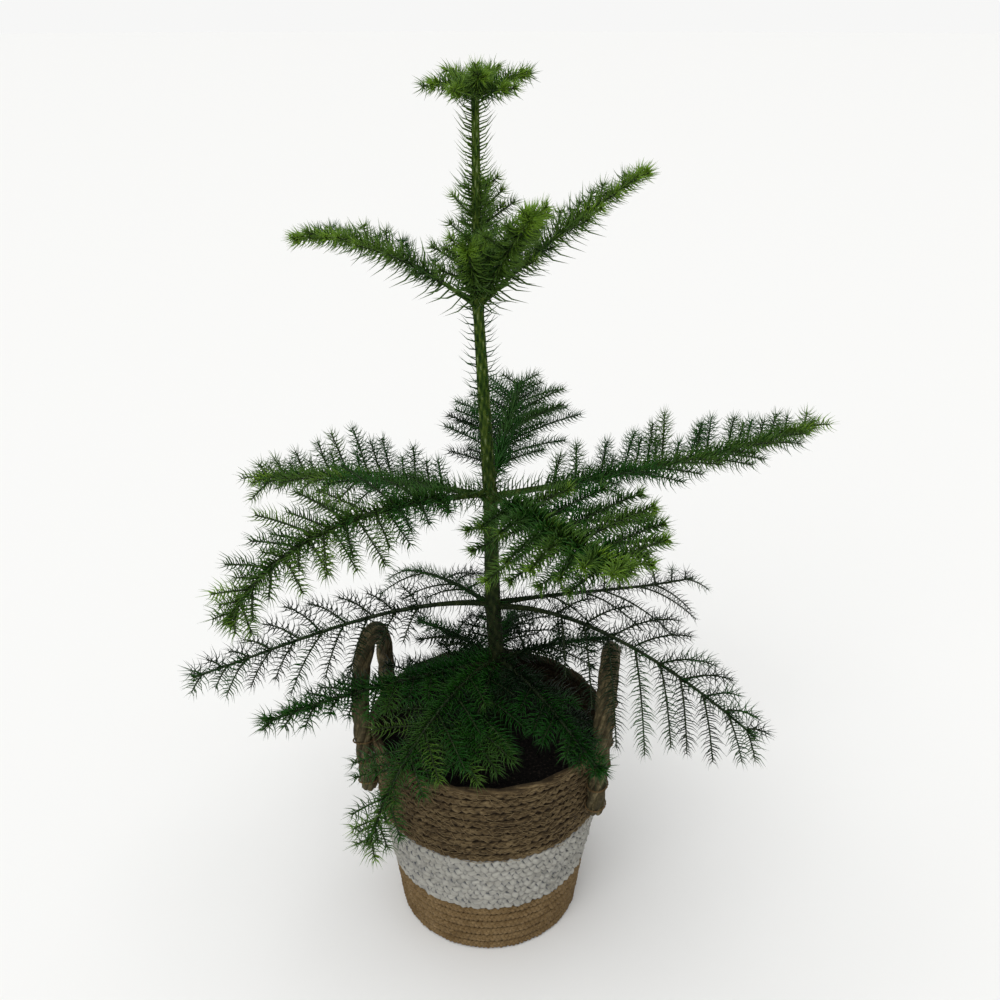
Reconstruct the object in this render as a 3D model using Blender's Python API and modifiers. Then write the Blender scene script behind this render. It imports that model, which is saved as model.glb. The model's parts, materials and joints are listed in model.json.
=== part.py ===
"""A young Norfolk Island pine in a woven basket with two rope handles.

Metres, +Z up. The origin is the centre of the basket's flat underside. The
plant is a leaning trunk with five whorls of boughs. Each bough is a tapering
limb that ends where its mass of foliage begins, and each mass is a stem with
toothed blades, one blade for each spray of needles.
"""
import math
import random
from collections import namedtuple

import bmesh
import bpy
from mathutils import Matrix, Vector
from mathutils.bvhtree import BVHTree

# Clearances
GAP = 0.0003
CLEARANCE = 0.0006
MERGE_DISTANCE = 0.000001

# Basket, three woven bands one above the other
BASE_RADIUS = 0.083
FOOT_TOP_HEIGHT = 0.057
FOOT_TOP_RADIUS = 0.090
WHITE_TOP_HEIGHT = 0.121
WHITE_TOP_RADIUS = 0.101
RIM_HEIGHT = 0.201
RIM_RADIUS = 0.105
WALL = 0.007
FLOOR = 0.006
EDGE_ROUNDING = 0.004
TURN_STEPS = 40

# Rope handles, sewn to the outside of the top band
ROPE_RADIUS = 0.007
HANDLE_RIGHT_AZIMUTH = -10.0
HANDLE_LEFT_AZIMUTH = 172.0
HANDLE_HALF_SPREAD = 23.0
HANDLE_FOOT_HEIGHT = 0.140
HANDLE_SHOULDER_HEIGHT = 0.222
HANDLE_TOP_HEIGHT = 0.270
HANDLE_TOP_REACH = 0.105
HANDLE_ARCH_POINTS = 11

# The space inside each handle's loop, which foliage keeps out of
LOOP_INNER_REACH = 0.084
LOOP_OUTER_REACH = 0.128
LOOP_HALF_WIDTH = 0.026
LOOP_LOW = 0.204
LOOP_HIGH = 0.243

# Soil and trunk
SOIL_HEIGHT = 0.172
FLARE_MIDDLE = 0.176
FLARE_TOP = 0.180
FLARE_END = 0.200
TRUNK_TOP = 0.724
TRUNK_STEP = 0.045
TrunkStation = namedtuple("TrunkStation", "height lean radius")
TRUNK_STATIONS = (
    TrunkStation(SOIL_HEIGHT, 0.0098, 0.0120),
    TrunkStation(FLARE_TOP, 0.0097, 0.0092),
    TrunkStation(FLARE_END, 0.0092, 0.0078),
    TrunkStation(0.256, 0.0076, 0.0070),
    TrunkStation(0.311, 0.0043, 0.0065),
    TrunkStation(0.414, 0.0022, 0.0056),
    TrunkStation(0.569, -0.0060, 0.0040),
    TrunkStation(0.715, -0.0067, 0.0026),
    TrunkStation(0.737, -0.0060, 0.0020),
)

# One bough: its direction seen from above (0 is +X, 90 is +Y), how far out
# and how high its tip is, its slope at the trunk and at the tip, how far its
# spray is rolled about its own length, how far both sides of the spray are
# raised, and its greatest side twig. Angles in degrees.
Bough = namedtuple("Bough", "azimuth reach tip_height start_slope tip_slope roll lift twig")

# One whorl: where it leaves the trunk, its boughs, the share of a bough that
# carries no side twigs, the spacing of those twigs, how far down they hang,
# the reach of their needles, the limb's radius and seed.
Whorl = namedtuple("Whorl", "name height boughs bare spacing droop spray_width limb_radius seed")
WHORLS = (
    Whorl("top", 0.715, (
        Bough(10, 0.037, 0.727, 30, 5, 0, 2, 0.011),
        Bough(66, 0.028, 0.729, 35, 20, 0, 2, 0.011),
        Bough(122, 0.032, 0.728, 35, 15, 0, 2, 0.011),
        Bough(188, 0.034, 0.720, 25, -15, 0, 2, 0.011),
        Bough(236, 0.026, 0.718, 15, 0, 0, 2, 0.011),
        Bough(279, 0.024, 0.729, 40, 30, 0, 2, 0.011),
        Bough(322, 0.030, 0.719, 15, 0, 0, 2, 0.011),
    ), 0.0, 0.014, 0.0, 0.0055, 0.0012, 11),
    Whorl("upper", 0.569, (
        Bough(15, 0.132, 0.661, 42, 28, 0, 6, 0.034),
        Bough(85, 0.070, 0.650, 55, 45, 0, 6, 0.036),
        Bough(165, 0.146, 0.609, 34, -14, 0, 8, 0.036),
        Bough(263, 0.050, 0.622, 52, 40, 0, 6, 0.036),
        Bough(300, 0.079, 0.647, 50, 35, 0, 6, 0.038),
    ), 0.20, 0.018, -0.10, 0.0085, 0.0020, 23),
    Whorl("middle", 0.414, (
        Bough(18, 0.300, 0.440, 2, 12, 0, 15, 0.070),
        Bough(83, 0.215, 0.437, 8, 12, 0, 12, 0.076),
        Bough(163, 0.212, 0.401, 4, -14, -4, 18, 0.066),
        Bough(226, 0.247, 0.400, 14, -55, -14, 10, 0.054),
        Bough(304, 0.171, 0.423, 10, 14, 0, 12, 0.076),
    ), 0.16, 0.020, 0.04, 0.0080, 0.0030, 37),
    Whorl("lower", 0.311, (
        Bough(342, 0.229, 0.225, 14, -38, 17, 3, 0.078),
        Bough(35, 0.243, 0.259, -10, -8, 10, 4, 0.070),
        Bough(120, 0.183, 0.256, -6, -26, 0, 5, 0.058),
        Bough(188, 0.257, 0.261, 10, -16, -22, 8, 0.052),
    ), 0.20, 0.022, 0.28, 0.0080, 0.0030, 41),
    Whorl("bottom", 0.256, (
        Bough(34, 0.128, 0.232, 4, -16, 0, 10, 0.052),
        Bough(82, 0.112, 0.236, 4, -14, 0, 10, 0.052),
        Bough(128, 0.126, 0.234, 4, -16, 0, 10, 0.052),
        Bough(168, 0.080, 0.230, 4, -12, 0, 8, 0.038),
        Bough(205, 0.206, 0.254, 6, -8, 0, 0, 0.040),
        Bough(231, 0.163, 0.161, 8, -68, 0, 4, 0.054),
        Bough(254, 0.100, 0.218, 4, -20, 0, 8, 0.056),
        Bough(308, 0.138, 0.219, 4, -24, 0, -2, 0.034),
    ), 0.16, 0.017, 0.10, 0.0075, 0.0024, 53),
)

# Limbs at the trunk
STAGGER = 0.0016
SEAT_GAP = 0.00035
END_SAMPLES = 12
SHARE_STEP = 0.0003
TANGENT_STEP = 0.01

# The rule for side twigs: pairs spaced evenly along a mass, longest in
# the middle, leaning forward more towards the tip, each a little different
TWIG_ANGLE_INNER = 66
TWIG_ANGLE_OUTER = 46
ANGLE_SPREAD = 5
LIFT_SPREAD = 8
LENGTH_SPREAD = 0.14
PLACE_SPREAD = 0.16
FIRST_PAIR = 0.45
LAST_PLACE = 0.97
INNER_LENGTH_SHARE = 0.62
LENGTH_RISE = 1.4
FADE_START = 0.45
FADE_AMOUNT = 0.70

# Blades
BLADE_SECTIONS = ((0.34, 1.0), (0.46, 0.45), (0.80, 0.8))
SHORT_BLADE_SECTIONS = ((0.55, 1.0),)
ROOT_WIDTH_SHARE = 0.12
ROOT_THICKNESS_SHARE = 0.4
ROOT_SINK = 0.3
BLADE_THICKNESS = 0.0013
SHORT_BLADE = 0.022
TIP_BLADE_SHARE = 0.28
TIP_BLADE_LEAST = 0.010
TIP_OVERLAP_SHARE = 0.7
STEM_TIP_SHARE = 0.45
STEM_STEP = 0.030
JOINT_RUN = 0.002
RETRY_SHARES = (1.0, 0.7, 0.45)

# The leader, a bud in a rosette of needles
LEADER_NEEDLES = 7
LEADER_NEEDLE_LENGTH = 0.012
LEADER_NEEDLE_WIDTH = 0.0012
LEADER_OUT = 0.62
LEADER_UP = 0.80
LEADER_NEEDLE_SHARE = 0.3
LEADER_BULGE_SHARE = 0.6
LEADER_RADII = (1.0, 1.1, 0.5)

PLANT_COLLECTION = "norfolk_island_pine_in_basket"
GUIDE_COLLECTION = "keep_out_guides"


def clear_scene():
    for item in list(bpy.data.objects):
        bpy.data.objects.remove(item, do_unlink=True)


def new_collection(name):
    collection = bpy.data.collections.new(name)
    bpy.context.scene.collection.children.link(collection)
    return collection


def material(name, colour, roughness):
    made = bpy.data.materials.get(name)
    if made is None:
        made = bpy.data.materials.new(name)
        made.use_nodes = True
        shader = made.node_tree.nodes["Principled BSDF"]
        shader.inputs["Base Color"].default_value = (*colour, 1.0)
        shader.inputs["Roughness"].default_value = roughness
        shader.inputs["Metallic"].default_value = 0.0
    return made


def bark_green():
    return material("olive_bark", (0.075, 0.110, 0.030), 0.75)


def foliage_green():
    return material("needle_green", (0.035, 0.120, 0.020), 0.55)


def brown_grass():
    return material("brown_seagrass", (0.260, 0.165, 0.080), 0.85)


def white_grass():
    return material("white_seagrass", (0.760, 0.750, 0.710), 0.80)


def golden_grass():
    return material("golden_jute", (0.470, 0.290, 0.130), 0.85)


def dark_soil():
    return material("dark_soil", (0.014, 0.011, 0.009), 0.95)


def link(mesh, name, collection, finish):
    item = bpy.data.objects.new(name, mesh)
    item.data.materials.clear()
    item.data.materials.append(finish)
    collection.objects.link(item)
    return item


def evaluated_mesh(item):
    graph = bpy.context.evaluated_depsgraph_get()
    graph.update()
    mesh = bpy.data.meshes.new_from_object(item.evaluated_get(graph))
    shape = bmesh.new()
    shape.from_mesh(mesh)
    bmesh.ops.remove_doubles(shape, verts=shape.verts, dist=MERGE_DISTANCE)
    shape.to_mesh(mesh)
    shape.free()
    return mesh


# The basket and its soil

def basket_radius(height):
    """Outer radius of the woven wall at a height."""
    rows = (
        (0.0, BASE_RADIUS),
        (FOOT_TOP_HEIGHT, FOOT_TOP_RADIUS),
        (WHITE_TOP_HEIGHT, WHITE_TOP_RADIUS),
        (RIM_HEIGHT, RIM_RADIUS),
    )
    for (low, low_radius), (high, high_radius) in zip(rows, rows[1:]):
        if height <= high:
            share = (height - low) / (high - low)
            return low_radius + share * (high_radius - low_radius)
    return RIM_RADIUS


def turned(name, profile, closed, finish, collection):
    """A solid of revolution: a profile of (radius, height) and a Screw."""
    mesh = bpy.data.meshes.new(name)
    edges = [(index, index + 1) for index in range(len(profile) - 1)]
    if closed:
        edges.append((len(profile) - 1, 0))
    mesh.from_pydata([(radius, 0.0, height) for radius, height in profile], edges, [])
    item = link(mesh, name, collection, finish)
    screw = item.modifiers.new("turn", "SCREW")
    screw.axis = "Z"
    screw.angle = math.tau
    screw.steps = TURN_STEPS
    screw.render_steps = TURN_STEPS
    screw.use_merge_vertices = True
    screw.merge_threshold = MERGE_DISTANCE
    screw.use_smooth_shade = True
    return item


def band_profile(low, high):
    """A closed ring profile, down its outer side and up its inner side."""
    return [
        (basket_radius(high), high),
        (basket_radius(low), low),
        (basket_radius(low) - WALL, low),
        (basket_radius(high) - WALL, high),
    ]


def make_basket(collection):
    inner_base = basket_radius(FLOOR) - WALL
    foot = [
        (0.0, FLOOR),
        (inner_base, FLOOR),
        (FOOT_TOP_RADIUS - WALL, FOOT_TOP_HEIGHT),
        (FOOT_TOP_RADIUS, FOOT_TOP_HEIGHT),
        (basket_radius(EDGE_ROUNDING), EDGE_ROUNDING),
        (BASE_RADIUS - EDGE_ROUNDING, 0.0),
        (0.0, 0.0),
    ]
    white = band_profile(FOOT_TOP_HEIGHT + GAP, WHITE_TOP_HEIGHT)
    top = band_profile(WHITE_TOP_HEIGHT + GAP, RIM_HEIGHT)
    return [
        turned("basket_foot_band", foot, False, golden_grass(), collection),
        turned("basket_white_band", white, True, white_grass(), collection),
        turned("basket_top_band", top, True, brown_grass(), collection),
    ]


def make_soil(collection):
    heights = (SOIL_HEIGHT, WHITE_TOP_HEIGHT, FOOT_TOP_HEIGHT, FLOOR + GAP)
    profile = [(0.0, SOIL_HEIGHT)]
    profile += [(basket_radius(height) - WALL - GAP, height) for height in heights]
    profile.append((0.0, FLOOR + GAP))
    return turned("soil", profile, False, dark_soil(), collection)


# Rods along a path: trunk, boughs, stems and handles

def rod(name, points, radii, roundness, finish, collection):
    """A curve with a round bevel and a radius at each point, made a mesh."""
    curve = bpy.data.curves.new(name + "_path", "CURVE")
    curve.dimensions = "3D"
    curve.bevel_depth = 1.0
    curve.bevel_resolution = roundness
    curve.use_fill_caps = True
    spline = curve.splines.new("POLY")
    spline.points.add(len(points) - 1)
    for place, point, radius in zip(spline.points, points, radii):
        place.co = (*point, 1.0)
        place.radius = radius
    path = bpy.data.objects.new(name + "_path", curve)
    bpy.context.scene.collection.objects.link(path)
    item = link(evaluated_mesh(path), name, collection, finish)
    bpy.data.objects.remove(path, do_unlink=True)
    item.data.shade_smooth()
    return item


def make_handle(name, azimuth, collection):
    """A rope loop: two legs on the outside of the band and an arch above.

    The points are found in a frame whose X runs out through the handle's
    middle, and are then turned to its azimuth.
    """
    spread = math.radians(HANDLE_HALF_SPREAD)
    leg = []
    for height in (HANDLE_FOOT_HEIGHT, 0.5 * (HANDLE_FOOT_HEIGHT + RIM_HEIGHT), RIM_HEIGHT):
        seat = basket_radius(height) + ROPE_RADIUS + 2.0 * GAP
        leg.append(Vector((seat * math.cos(spread), seat * math.sin(spread), height)))
    arch = []
    half_width = leg[-1].y
    for index in range(HANDLE_ARCH_POINTS):
        turn = math.pi * index / (HANDLE_ARCH_POINTS - 1)
        height = HANDLE_SHOULDER_HEIGHT
        height += (HANDLE_TOP_HEIGHT - HANDLE_SHOULDER_HEIGHT) * math.sin(turn)
        lean = (height - RIM_HEIGHT) / (HANDLE_TOP_HEIGHT - RIM_HEIGHT)
        reach = leg[-1].x + lean * (HANDLE_TOP_REACH - leg[-1].x)
        arch.append(Vector((reach, -half_width * math.cos(turn), height)))
    front = [Vector((spot.x, -spot.y, spot.z)) for spot in leg]
    turned_round = Matrix.Rotation(math.radians(azimuth), 3, "Z")
    points = [turned_round @ spot for spot in front + arch + leg[::-1]]
    radii = [ROPE_RADIUS] * len(points)
    return rod(name, points, radii, 2, brown_grass(), collection)


def trunk_at(height):
    """Centre and radius of the trunk at a height."""
    for low, high in zip(TRUNK_STATIONS, TRUNK_STATIONS[1:]):
        if height <= high.height:
            share = (height - low.height) / (high.height - low.height)
            lean = low.lean + share * (high.lean - low.lean)
            radius = low.radius + share * (high.radius - low.radius)
            return Vector((lean, 0.0, height)), radius
    last = TRUNK_STATIONS[-1]
    return Vector((last.lean, 0.0, height)), last.radius


def make_trunk(collection):
    """The trunk, cut flat on the soil, with its flare, up to the leader."""
    foot = SOIL_HEIGHT + GAP
    heights = [foot, FLARE_MIDDLE, FLARE_TOP, FLARE_END]
    while heights[-1] + TRUNK_STEP < TRUNK_TOP:
        heights.append(heights[-1] + TRUNK_STEP)
    heights.append(TRUNK_TOP)
    points = [trunk_at(height)[0] for height in heights]
    points[1].x = points[0].x
    radii = [trunk_at(height)[1] for height in heights]
    return rod("trunk", points, radii, 3, bark_green(), collection)


# Boughs and their foliage

class Limb:
    """The path of one bough, from the trunk's axis to the bough's tip."""

    def __init__(self, whorl, bough, index):
        self.whorl = whorl
        self.bough = bough
        turn = math.radians(bough.azimuth)
        self.outward = Vector((math.cos(turn), math.sin(turn), 0.0))
        stagger = STAGGER if index % 2 else -STAGGER
        self.foot, self.trunk_radius = trunk_at(whorl.height + stagger)
        rise = bough.tip_height - self.foot.z
        chord = math.hypot(bough.reach, rise)
        start = math.radians(bough.start_slope)
        end = math.radians(bough.tip_slope)
        self.ends = (Vector((0.0, 0.0)), Vector((bough.reach, rise)))
        self.pulls = (
            Vector((math.cos(start), math.sin(start))) * chord,
            Vector((math.cos(end), math.sin(end))) * chord,
        )
        self.length = chord

    def at(self, share):
        """Point at a share of the way, a cubic between the two slopes."""
        squared = share * share
        cubed = squared * share
        flat = (
            self.ends[0] * (2 * cubed - 3 * squared + 1)
            + self.pulls[0] * (cubed - 2 * squared + share)
            + self.ends[1] * (3 * squared - 2 * cubed)
            + self.pulls[1] * (cubed - squared)
        )
        return self.foot + self.outward * flat.x + Vector((0.0, 0.0, flat.y))

    def direction(self, share):
        ahead = self.at(min(share + TANGENT_STEP, 1.0))
        behind = self.at(max(share - TANGENT_STEP, 0.0))
        return (ahead - behind).normalized()

    def frame(self, share):
        """Direction, sideways and upward axes, with the spray's roll."""
        along = self.direction(share)
        across = Vector((0.0, 0.0, 1.0)).cross(along).normalized()
        across = Matrix.Rotation(math.radians(self.bough.roll), 3, along) @ across
        return along, across, along.cross(across).normalized()

    def radius(self, share):
        tip = STEM_TIP_SHARE * self.whorl.limb_radius
        return self.whorl.limb_radius + share * (tip - self.whorl.limb_radius)

    def end_gap(self, share, trunk_tree):
        """Least distance from the limb's end face at a share to the trunk."""
        along, across, up = self.frame(share)
        centre = self.at(share)
        spots = [centre]
        for index in range(END_SAMPLES):
            turn = math.tau * index / END_SAMPLES
            rim = across * math.cos(turn) + up * math.sin(turn)
            spots.append(centre + rim * self.radius(share))
            spots.append(centre + rim * self.radius(share) * 0.5)
        return min(trunk_tree.find_nearest(spot)[3] for spot in spots)

    def start_share(self, trunk_tree):
        """Where the limb's end face sits just clear of the trunk."""
        share = 3.0 * self.trunk_radius / self.length
        while self.end_gap(share - SHARE_STEP, trunk_tree) > SEAT_GAP:
            share -= SHARE_STEP
        return share


def limb_rod(name, limb, first, last, step, roundness, finish, collection):
    """A limb between two shares, with a short straight run at a joint."""
    count = max(2, math.ceil(limb.length * (last - first) / step) + 1)
    shares = [first + (last - first) * index / (count - 1) for index in range(count)]
    run = JOINT_RUN / limb.length
    if last < 1.0:
        shares.insert(-1, last - run)
    elif first > run:
        shares.insert(1, first + run)
    points = [limb.at(share) for share in shares]
    radii = [limb.radius(share) for share in shares]
    return rod(name, points, radii, roundness, finish, collection)


def blade_sections(length, width):
    """Shares of the length and half widths of a blade with toothed edges."""
    rows = SHORT_BLADE_SECTIONS if length < SHORT_BLADE else BLADE_SECTIONS
    return [(0.0, ROOT_WIDTH_SHARE * width)] + [(share, half * width) for share, half in rows]


def blade_shape(start, along, across, up, length, width, droop, swell=0.0):
    """A thin toothed blade, ridged on top, that bends down towards its tip."""
    shape = bmesh.new()
    rings = []
    for share, half in blade_sections(length, width):
        centre = start + along * (share * length)
        centre.z -= droop * length * share * share
        half += swell
        thickness = swell + BLADE_THICKNESS * (1.0 if share > 0.0 else ROOT_THICKNESS_SHARE)
        rings.append([
            shape.verts.new(centre - across * half - up * swell),
            shape.verts.new(centre + up * thickness),
            shape.verts.new(centre + across * half - up * swell),
        ])
    end = start + along * (length + swell)
    end.z -= droop * length
    tip = shape.verts.new(end)
    for ring, following in zip(rings, rings[1:]):
        for corner in range(3):
            other = (corner + 1) % 3
            shape.faces.new((ring[corner], ring[other], following[other], following[corner]))
    for corner in range(3):
        shape.faces.new((rings[-1][corner], rings[-1][(corner + 1) % 3], tip))
    shape.faces.new(reversed(rings[0]))
    bmesh.ops.triangulate(shape, faces=shape.faces)
    bmesh.ops.recalc_face_normals(shape, faces=shape.faces)
    return shape


def twig_length(limb, share):
    """Side twigs are longest in the middle of a spray and short at its tip."""
    rising = min(1.0, INNER_LENGTH_SHARE + LENGTH_RISE * share)
    fading = 1.0 - FADE_AMOUNT * max(0.0, share - FADE_START) / (1.0 - FADE_START)
    return limb.bough.twig * rising * fading


def twig_rule(limb, first, seed):
    """The seeded rule: pairs of side twigs along the limb and one at its tip.

    Yields start, direction, across axis, up axis, length and half width.
    """
    whorl = limb.whorl
    draw = random.Random(seed)
    pairs = max(2, round(limb.length * (1.0 - first) / whorl.spacing))
    for index in range(pairs):
        place = (index + FIRST_PAIR) / pairs
        for side in (-1.0, 1.0):
            spread = draw.uniform(-PLACE_SPREAD, PLACE_SPREAD) / pairs
            share = first + (1.0 - first) * min(LAST_PLACE, place + spread)
            angle = TWIG_ANGLE_INNER + place * (TWIG_ANGLE_OUTER - TWIG_ANGLE_INNER)
            angle = math.radians(angle + draw.uniform(-ANGLE_SPREAD, ANGLE_SPREAD))
            lift = math.radians(limb.bough.lift + draw.uniform(-LIFT_SPREAD, LIFT_SPREAD))
            length = twig_length(limb, place)
            length *= 1.0 + draw.uniform(-LENGTH_SPREAD, LENGTH_SPREAD)
            along, across, up = limb.frame(share)
            course = along * math.cos(angle) + across * side * math.sin(angle)
            course = (course * math.cos(lift) + up * math.sin(lift)).normalized()
            flat = up.cross(course).normalized()
            start = limb.at(share) + course * (ROOT_SINK * limb.radius(share))
            yield start, course, flat, course.cross(flat), length, whorl.spray_width
    along, across, up = limb.frame(1.0)
    length = max(TIP_BLADE_SHARE * limb.bough.twig, TIP_BLADE_LEAST)
    start = limb.at(1.0) - along * length * TIP_OVERLAP_SHARE
    yield start, along, across, up, length, whorl.spray_width


def loose_parts_removed(mesh):
    """Keeps the largest shell of a mesh: scraps and sealed hollows go."""
    shape = bmesh.new()
    shape.from_mesh(mesh)
    unseen = set(shape.verts)
    shells = []
    while unseen:
        stack = [unseen.pop()]
        shell = set(stack)
        while stack:
            vertex = stack.pop()
            for edge in vertex.link_edges:
                other = edge.other_vert(vertex)
                if other in unseen:
                    unseen.discard(other)
                    shell.add(other)
                    stack.append(other)
        shells.append(shell)
    shells.sort(key=len, reverse=True)
    scrap = [vertex for shell in shells[1:] for vertex in shell]
    bmesh.ops.delete(shape, geom=scrap, context="VERTS")
    bmesh.ops.remove_doubles(shape, verts=shape.verts, dist=MERGE_DISTANCE)
    bmesh.ops.triangulate(shape, faces=shape.faces)
    closed = all(edge.is_manifold for edge in shape.edges)
    shape.to_mesh(mesh)
    shape.free()
    return closed


def fused(stem, twigs, solver):
    """The union of a stem with a collection of blades, as a new mesh."""
    union = stem.modifiers.new("fuse", "BOOLEAN")
    union.operation = "UNION"
    union.operand_type = "COLLECTION"
    union.collection = twigs
    union.solver = solver
    mesh = evaluated_mesh(stem)
    stem.modifiers.remove(union)
    return mesh, loose_parts_removed(mesh)


def obstacle(item):
    graph = bpy.context.evaluated_depsgraph_get()
    graph.update()
    return BVHTree.FromObject(item, graph)


def touches(shape, obstacles):
    tree = BVHTree.FromBMesh(shape)
    return any(tree.overlap(other) for other in obstacles)


def add_blade(name, spot, obstacles, twigs):
    """Adds a blade to a collection, shortened or left out where it is blocked."""
    start, along, across, up, length, width, droop = spot
    for share in RETRY_SHARES:
        size = length * share
        swollen = blade_shape(start, along, across, up, size, width, droop, CLEARANCE)
        blocked = touches(swollen, obstacles)
        swollen.free()
        if not blocked:
            blade = blade_shape(start, along, across, up, size, width, droop)
            mesh = bpy.data.meshes.new(name)
            blade.to_mesh(mesh)
            blade.free()
            twigs.objects.link(bpy.data.objects.new(name, mesh))
            return


def fuse_mass(stem, twigs):
    """Joins a stem and its blades into one closed mesh and drops the blades."""
    mesh, closed = fused(stem, twigs, "EXACT")
    if not closed:
        mesh, closed = fused(stem, twigs, "MANIFOLD")
    for blade in list(twigs.objects):
        bpy.data.objects.remove(blade, do_unlink=True)
    bpy.data.collections.remove(twigs)
    stem.data = mesh
    mesh.materials.clear()
    mesh.materials.append(foliage_green())
    print(stem.name, len(mesh.polygons), "triangles, closed", closed)
    return stem


def make_mass(name, limb, first, seed, obstacles, collection):
    """One mass of foliage: a stem and the blades that touch nothing else."""
    stem = limb_rod(name, limb, first, 1.0, STEM_STEP, 0, foliage_green(), collection)
    twigs = new_collection(name + "_twigs")
    for spot in twig_rule(limb, first, seed):
        add_blade(name + "_blade", (*spot, limb.whorl.droop), obstacles, twigs)
    return fuse_mass(stem, twigs)


def make_whorl(whorl, trunk_tree, obstacles, collection):
    """The boughs of one whorl, and then the foliage that each carries."""
    limbs = [Limb(whorl, bough, index) for index, bough in enumerate(whorl.boughs)]
    starts = []
    for number, limb in enumerate(limbs, 1):
        start = limb.start_share(trunk_tree)
        if whorl.bare > 0.0:
            name = f"{whorl.name}_bough_{number}"
            item = limb_rod(name, limb, start, whorl.bare, STEM_STEP, 1, bark_green(), collection)
            obstacles.append(obstacle(item))
            start = whorl.bare + GAP / limb.length
        starts.append(start)
    stems = []
    for limb, start in zip(limbs, starts):
        guard = limb_rod("guard", limb, start, 1.0, STEM_STEP, 0, bark_green(), collection)
        stems.append(obstacle(guard))
        bpy.data.objects.remove(guard, do_unlink=True)
    for number, (limb, start) in enumerate(zip(limbs, starts), 1):
        others = stems[:number - 1] + stems[number:]
        name = f"{whorl.name}_foliage_{number}"
        seed = whorl.seed * 100 + number
        mass = make_mass(name, limb, start, seed, obstacles + others, collection)
        obstacles.append(obstacle(mass))


def make_leader(obstacles, collection):
    """The growing tip: a bud with a rosette of needles round it."""
    foot, radius = trunk_at(TRUNK_TOP + GAP)
    top = trunk_at(TRUNK_STATIONS[-1].height)[0]
    points = [foot, foot.lerp(top, LEADER_BULGE_SHARE), top]
    radii = [radius * share for share in LEADER_RADII]
    core = rod("leader_tip", points, radii, 1, foliage_green(), collection)
    twigs = new_collection("leader_twigs")
    start = foot.lerp(top, LEADER_NEEDLE_SHARE)
    for index in range(LEADER_NEEDLES):
        turn = math.tau * (index + 0.5) / LEADER_NEEDLES
        outward = Vector((math.cos(turn), math.sin(turn), 0.0))
        course = (outward * LEADER_OUT + Vector((0.0, 0.0, LEADER_UP))).normalized()
        across = Vector((0.0, 0.0, 1.0)).cross(outward)
        size = (LEADER_NEEDLE_LENGTH, LEADER_NEEDLE_WIDTH, 0.0)
        add_blade("leader_blade", (start, course, across, course.cross(across), *size),
                  obstacles, twigs)
    return fuse_mass(core, twigs)


def loop_guides(collection):
    """Boxes through the two handle loops, which foliage keeps out of."""
    guides = []
    middle = 0.5 * (LOOP_INNER_REACH + LOOP_OUTER_REACH)
    height = 0.5 * (LOOP_LOW + LOOP_HIGH)
    size = Vector((LOOP_OUTER_REACH - LOOP_INNER_REACH, 2.0 * LOOP_HALF_WIDTH, LOOP_HIGH - LOOP_LOW))
    rows = (("loop_right", HANDLE_RIGHT_AZIMUTH), ("loop_left", HANDLE_LEFT_AZIMUTH))
    for name, azimuth in rows:
        turn = math.radians(azimuth)
        centre = Vector((math.cos(turn), math.sin(turn), 0.0)) * middle
        centre.z = height
        shape = bmesh.new()
        bmesh.ops.create_cube(shape, size=1.0)
        bmesh.ops.scale(shape, vec=size, verts=shape.verts)
        bmesh.ops.translate(shape, vec=centre, verts=shape.verts)
        mesh = bpy.data.meshes.new(name)
        shape.to_mesh(mesh)
        shape.free()
        guide = bpy.data.objects.new(name, mesh)
        guide.hide_render = True
        guide.display_type = "WIRE"
        collection.objects.link(guide)
        guides.append(guide)
    return guides


def main():
    clear_scene()
    plant = new_collection(PLANT_COLLECTION)
    guides = new_collection(GUIDE_COLLECTION)
    fixed = make_basket(plant)
    fixed.append(make_soil(plant))
    fixed.append(make_handle("handle_right", HANDLE_RIGHT_AZIMUTH, plant))
    fixed.append(make_handle("handle_left", HANDLE_LEFT_AZIMUTH, plant))
    fixed += loop_guides(guides)
    trunk_tree = obstacle(make_trunk(plant))
    obstacles = [obstacle(item) for item in fixed]
    obstacles.append(trunk_tree)
    for whorl in WHORLS:
        make_whorl(whorl, trunk_tree, obstacles, plant)
    make_leader(obstacles, plant)


main()
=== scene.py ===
# %% [markdown]
# # A young Norfolk Island pine in a woven basket
#
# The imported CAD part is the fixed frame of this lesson. Its solids give every
# size and place, and each cell below replaces some of them by a detailed
# piece. The trunk, the boughs and the sprays all follow the same seeded rule as
# the solids do. The rule is written again here and carried on to single needles.
# Nearly every piece repeats something along a path, so most of them are grown
# by Geometry Nodes trees that the script builds itself.

# %% Load the frame
import json
import math
import random
from collections import namedtuple

import bmesh
import bpy
from mathutils import Matrix, Vector, noise
from mathutils.bvhtree import BVHTree

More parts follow.
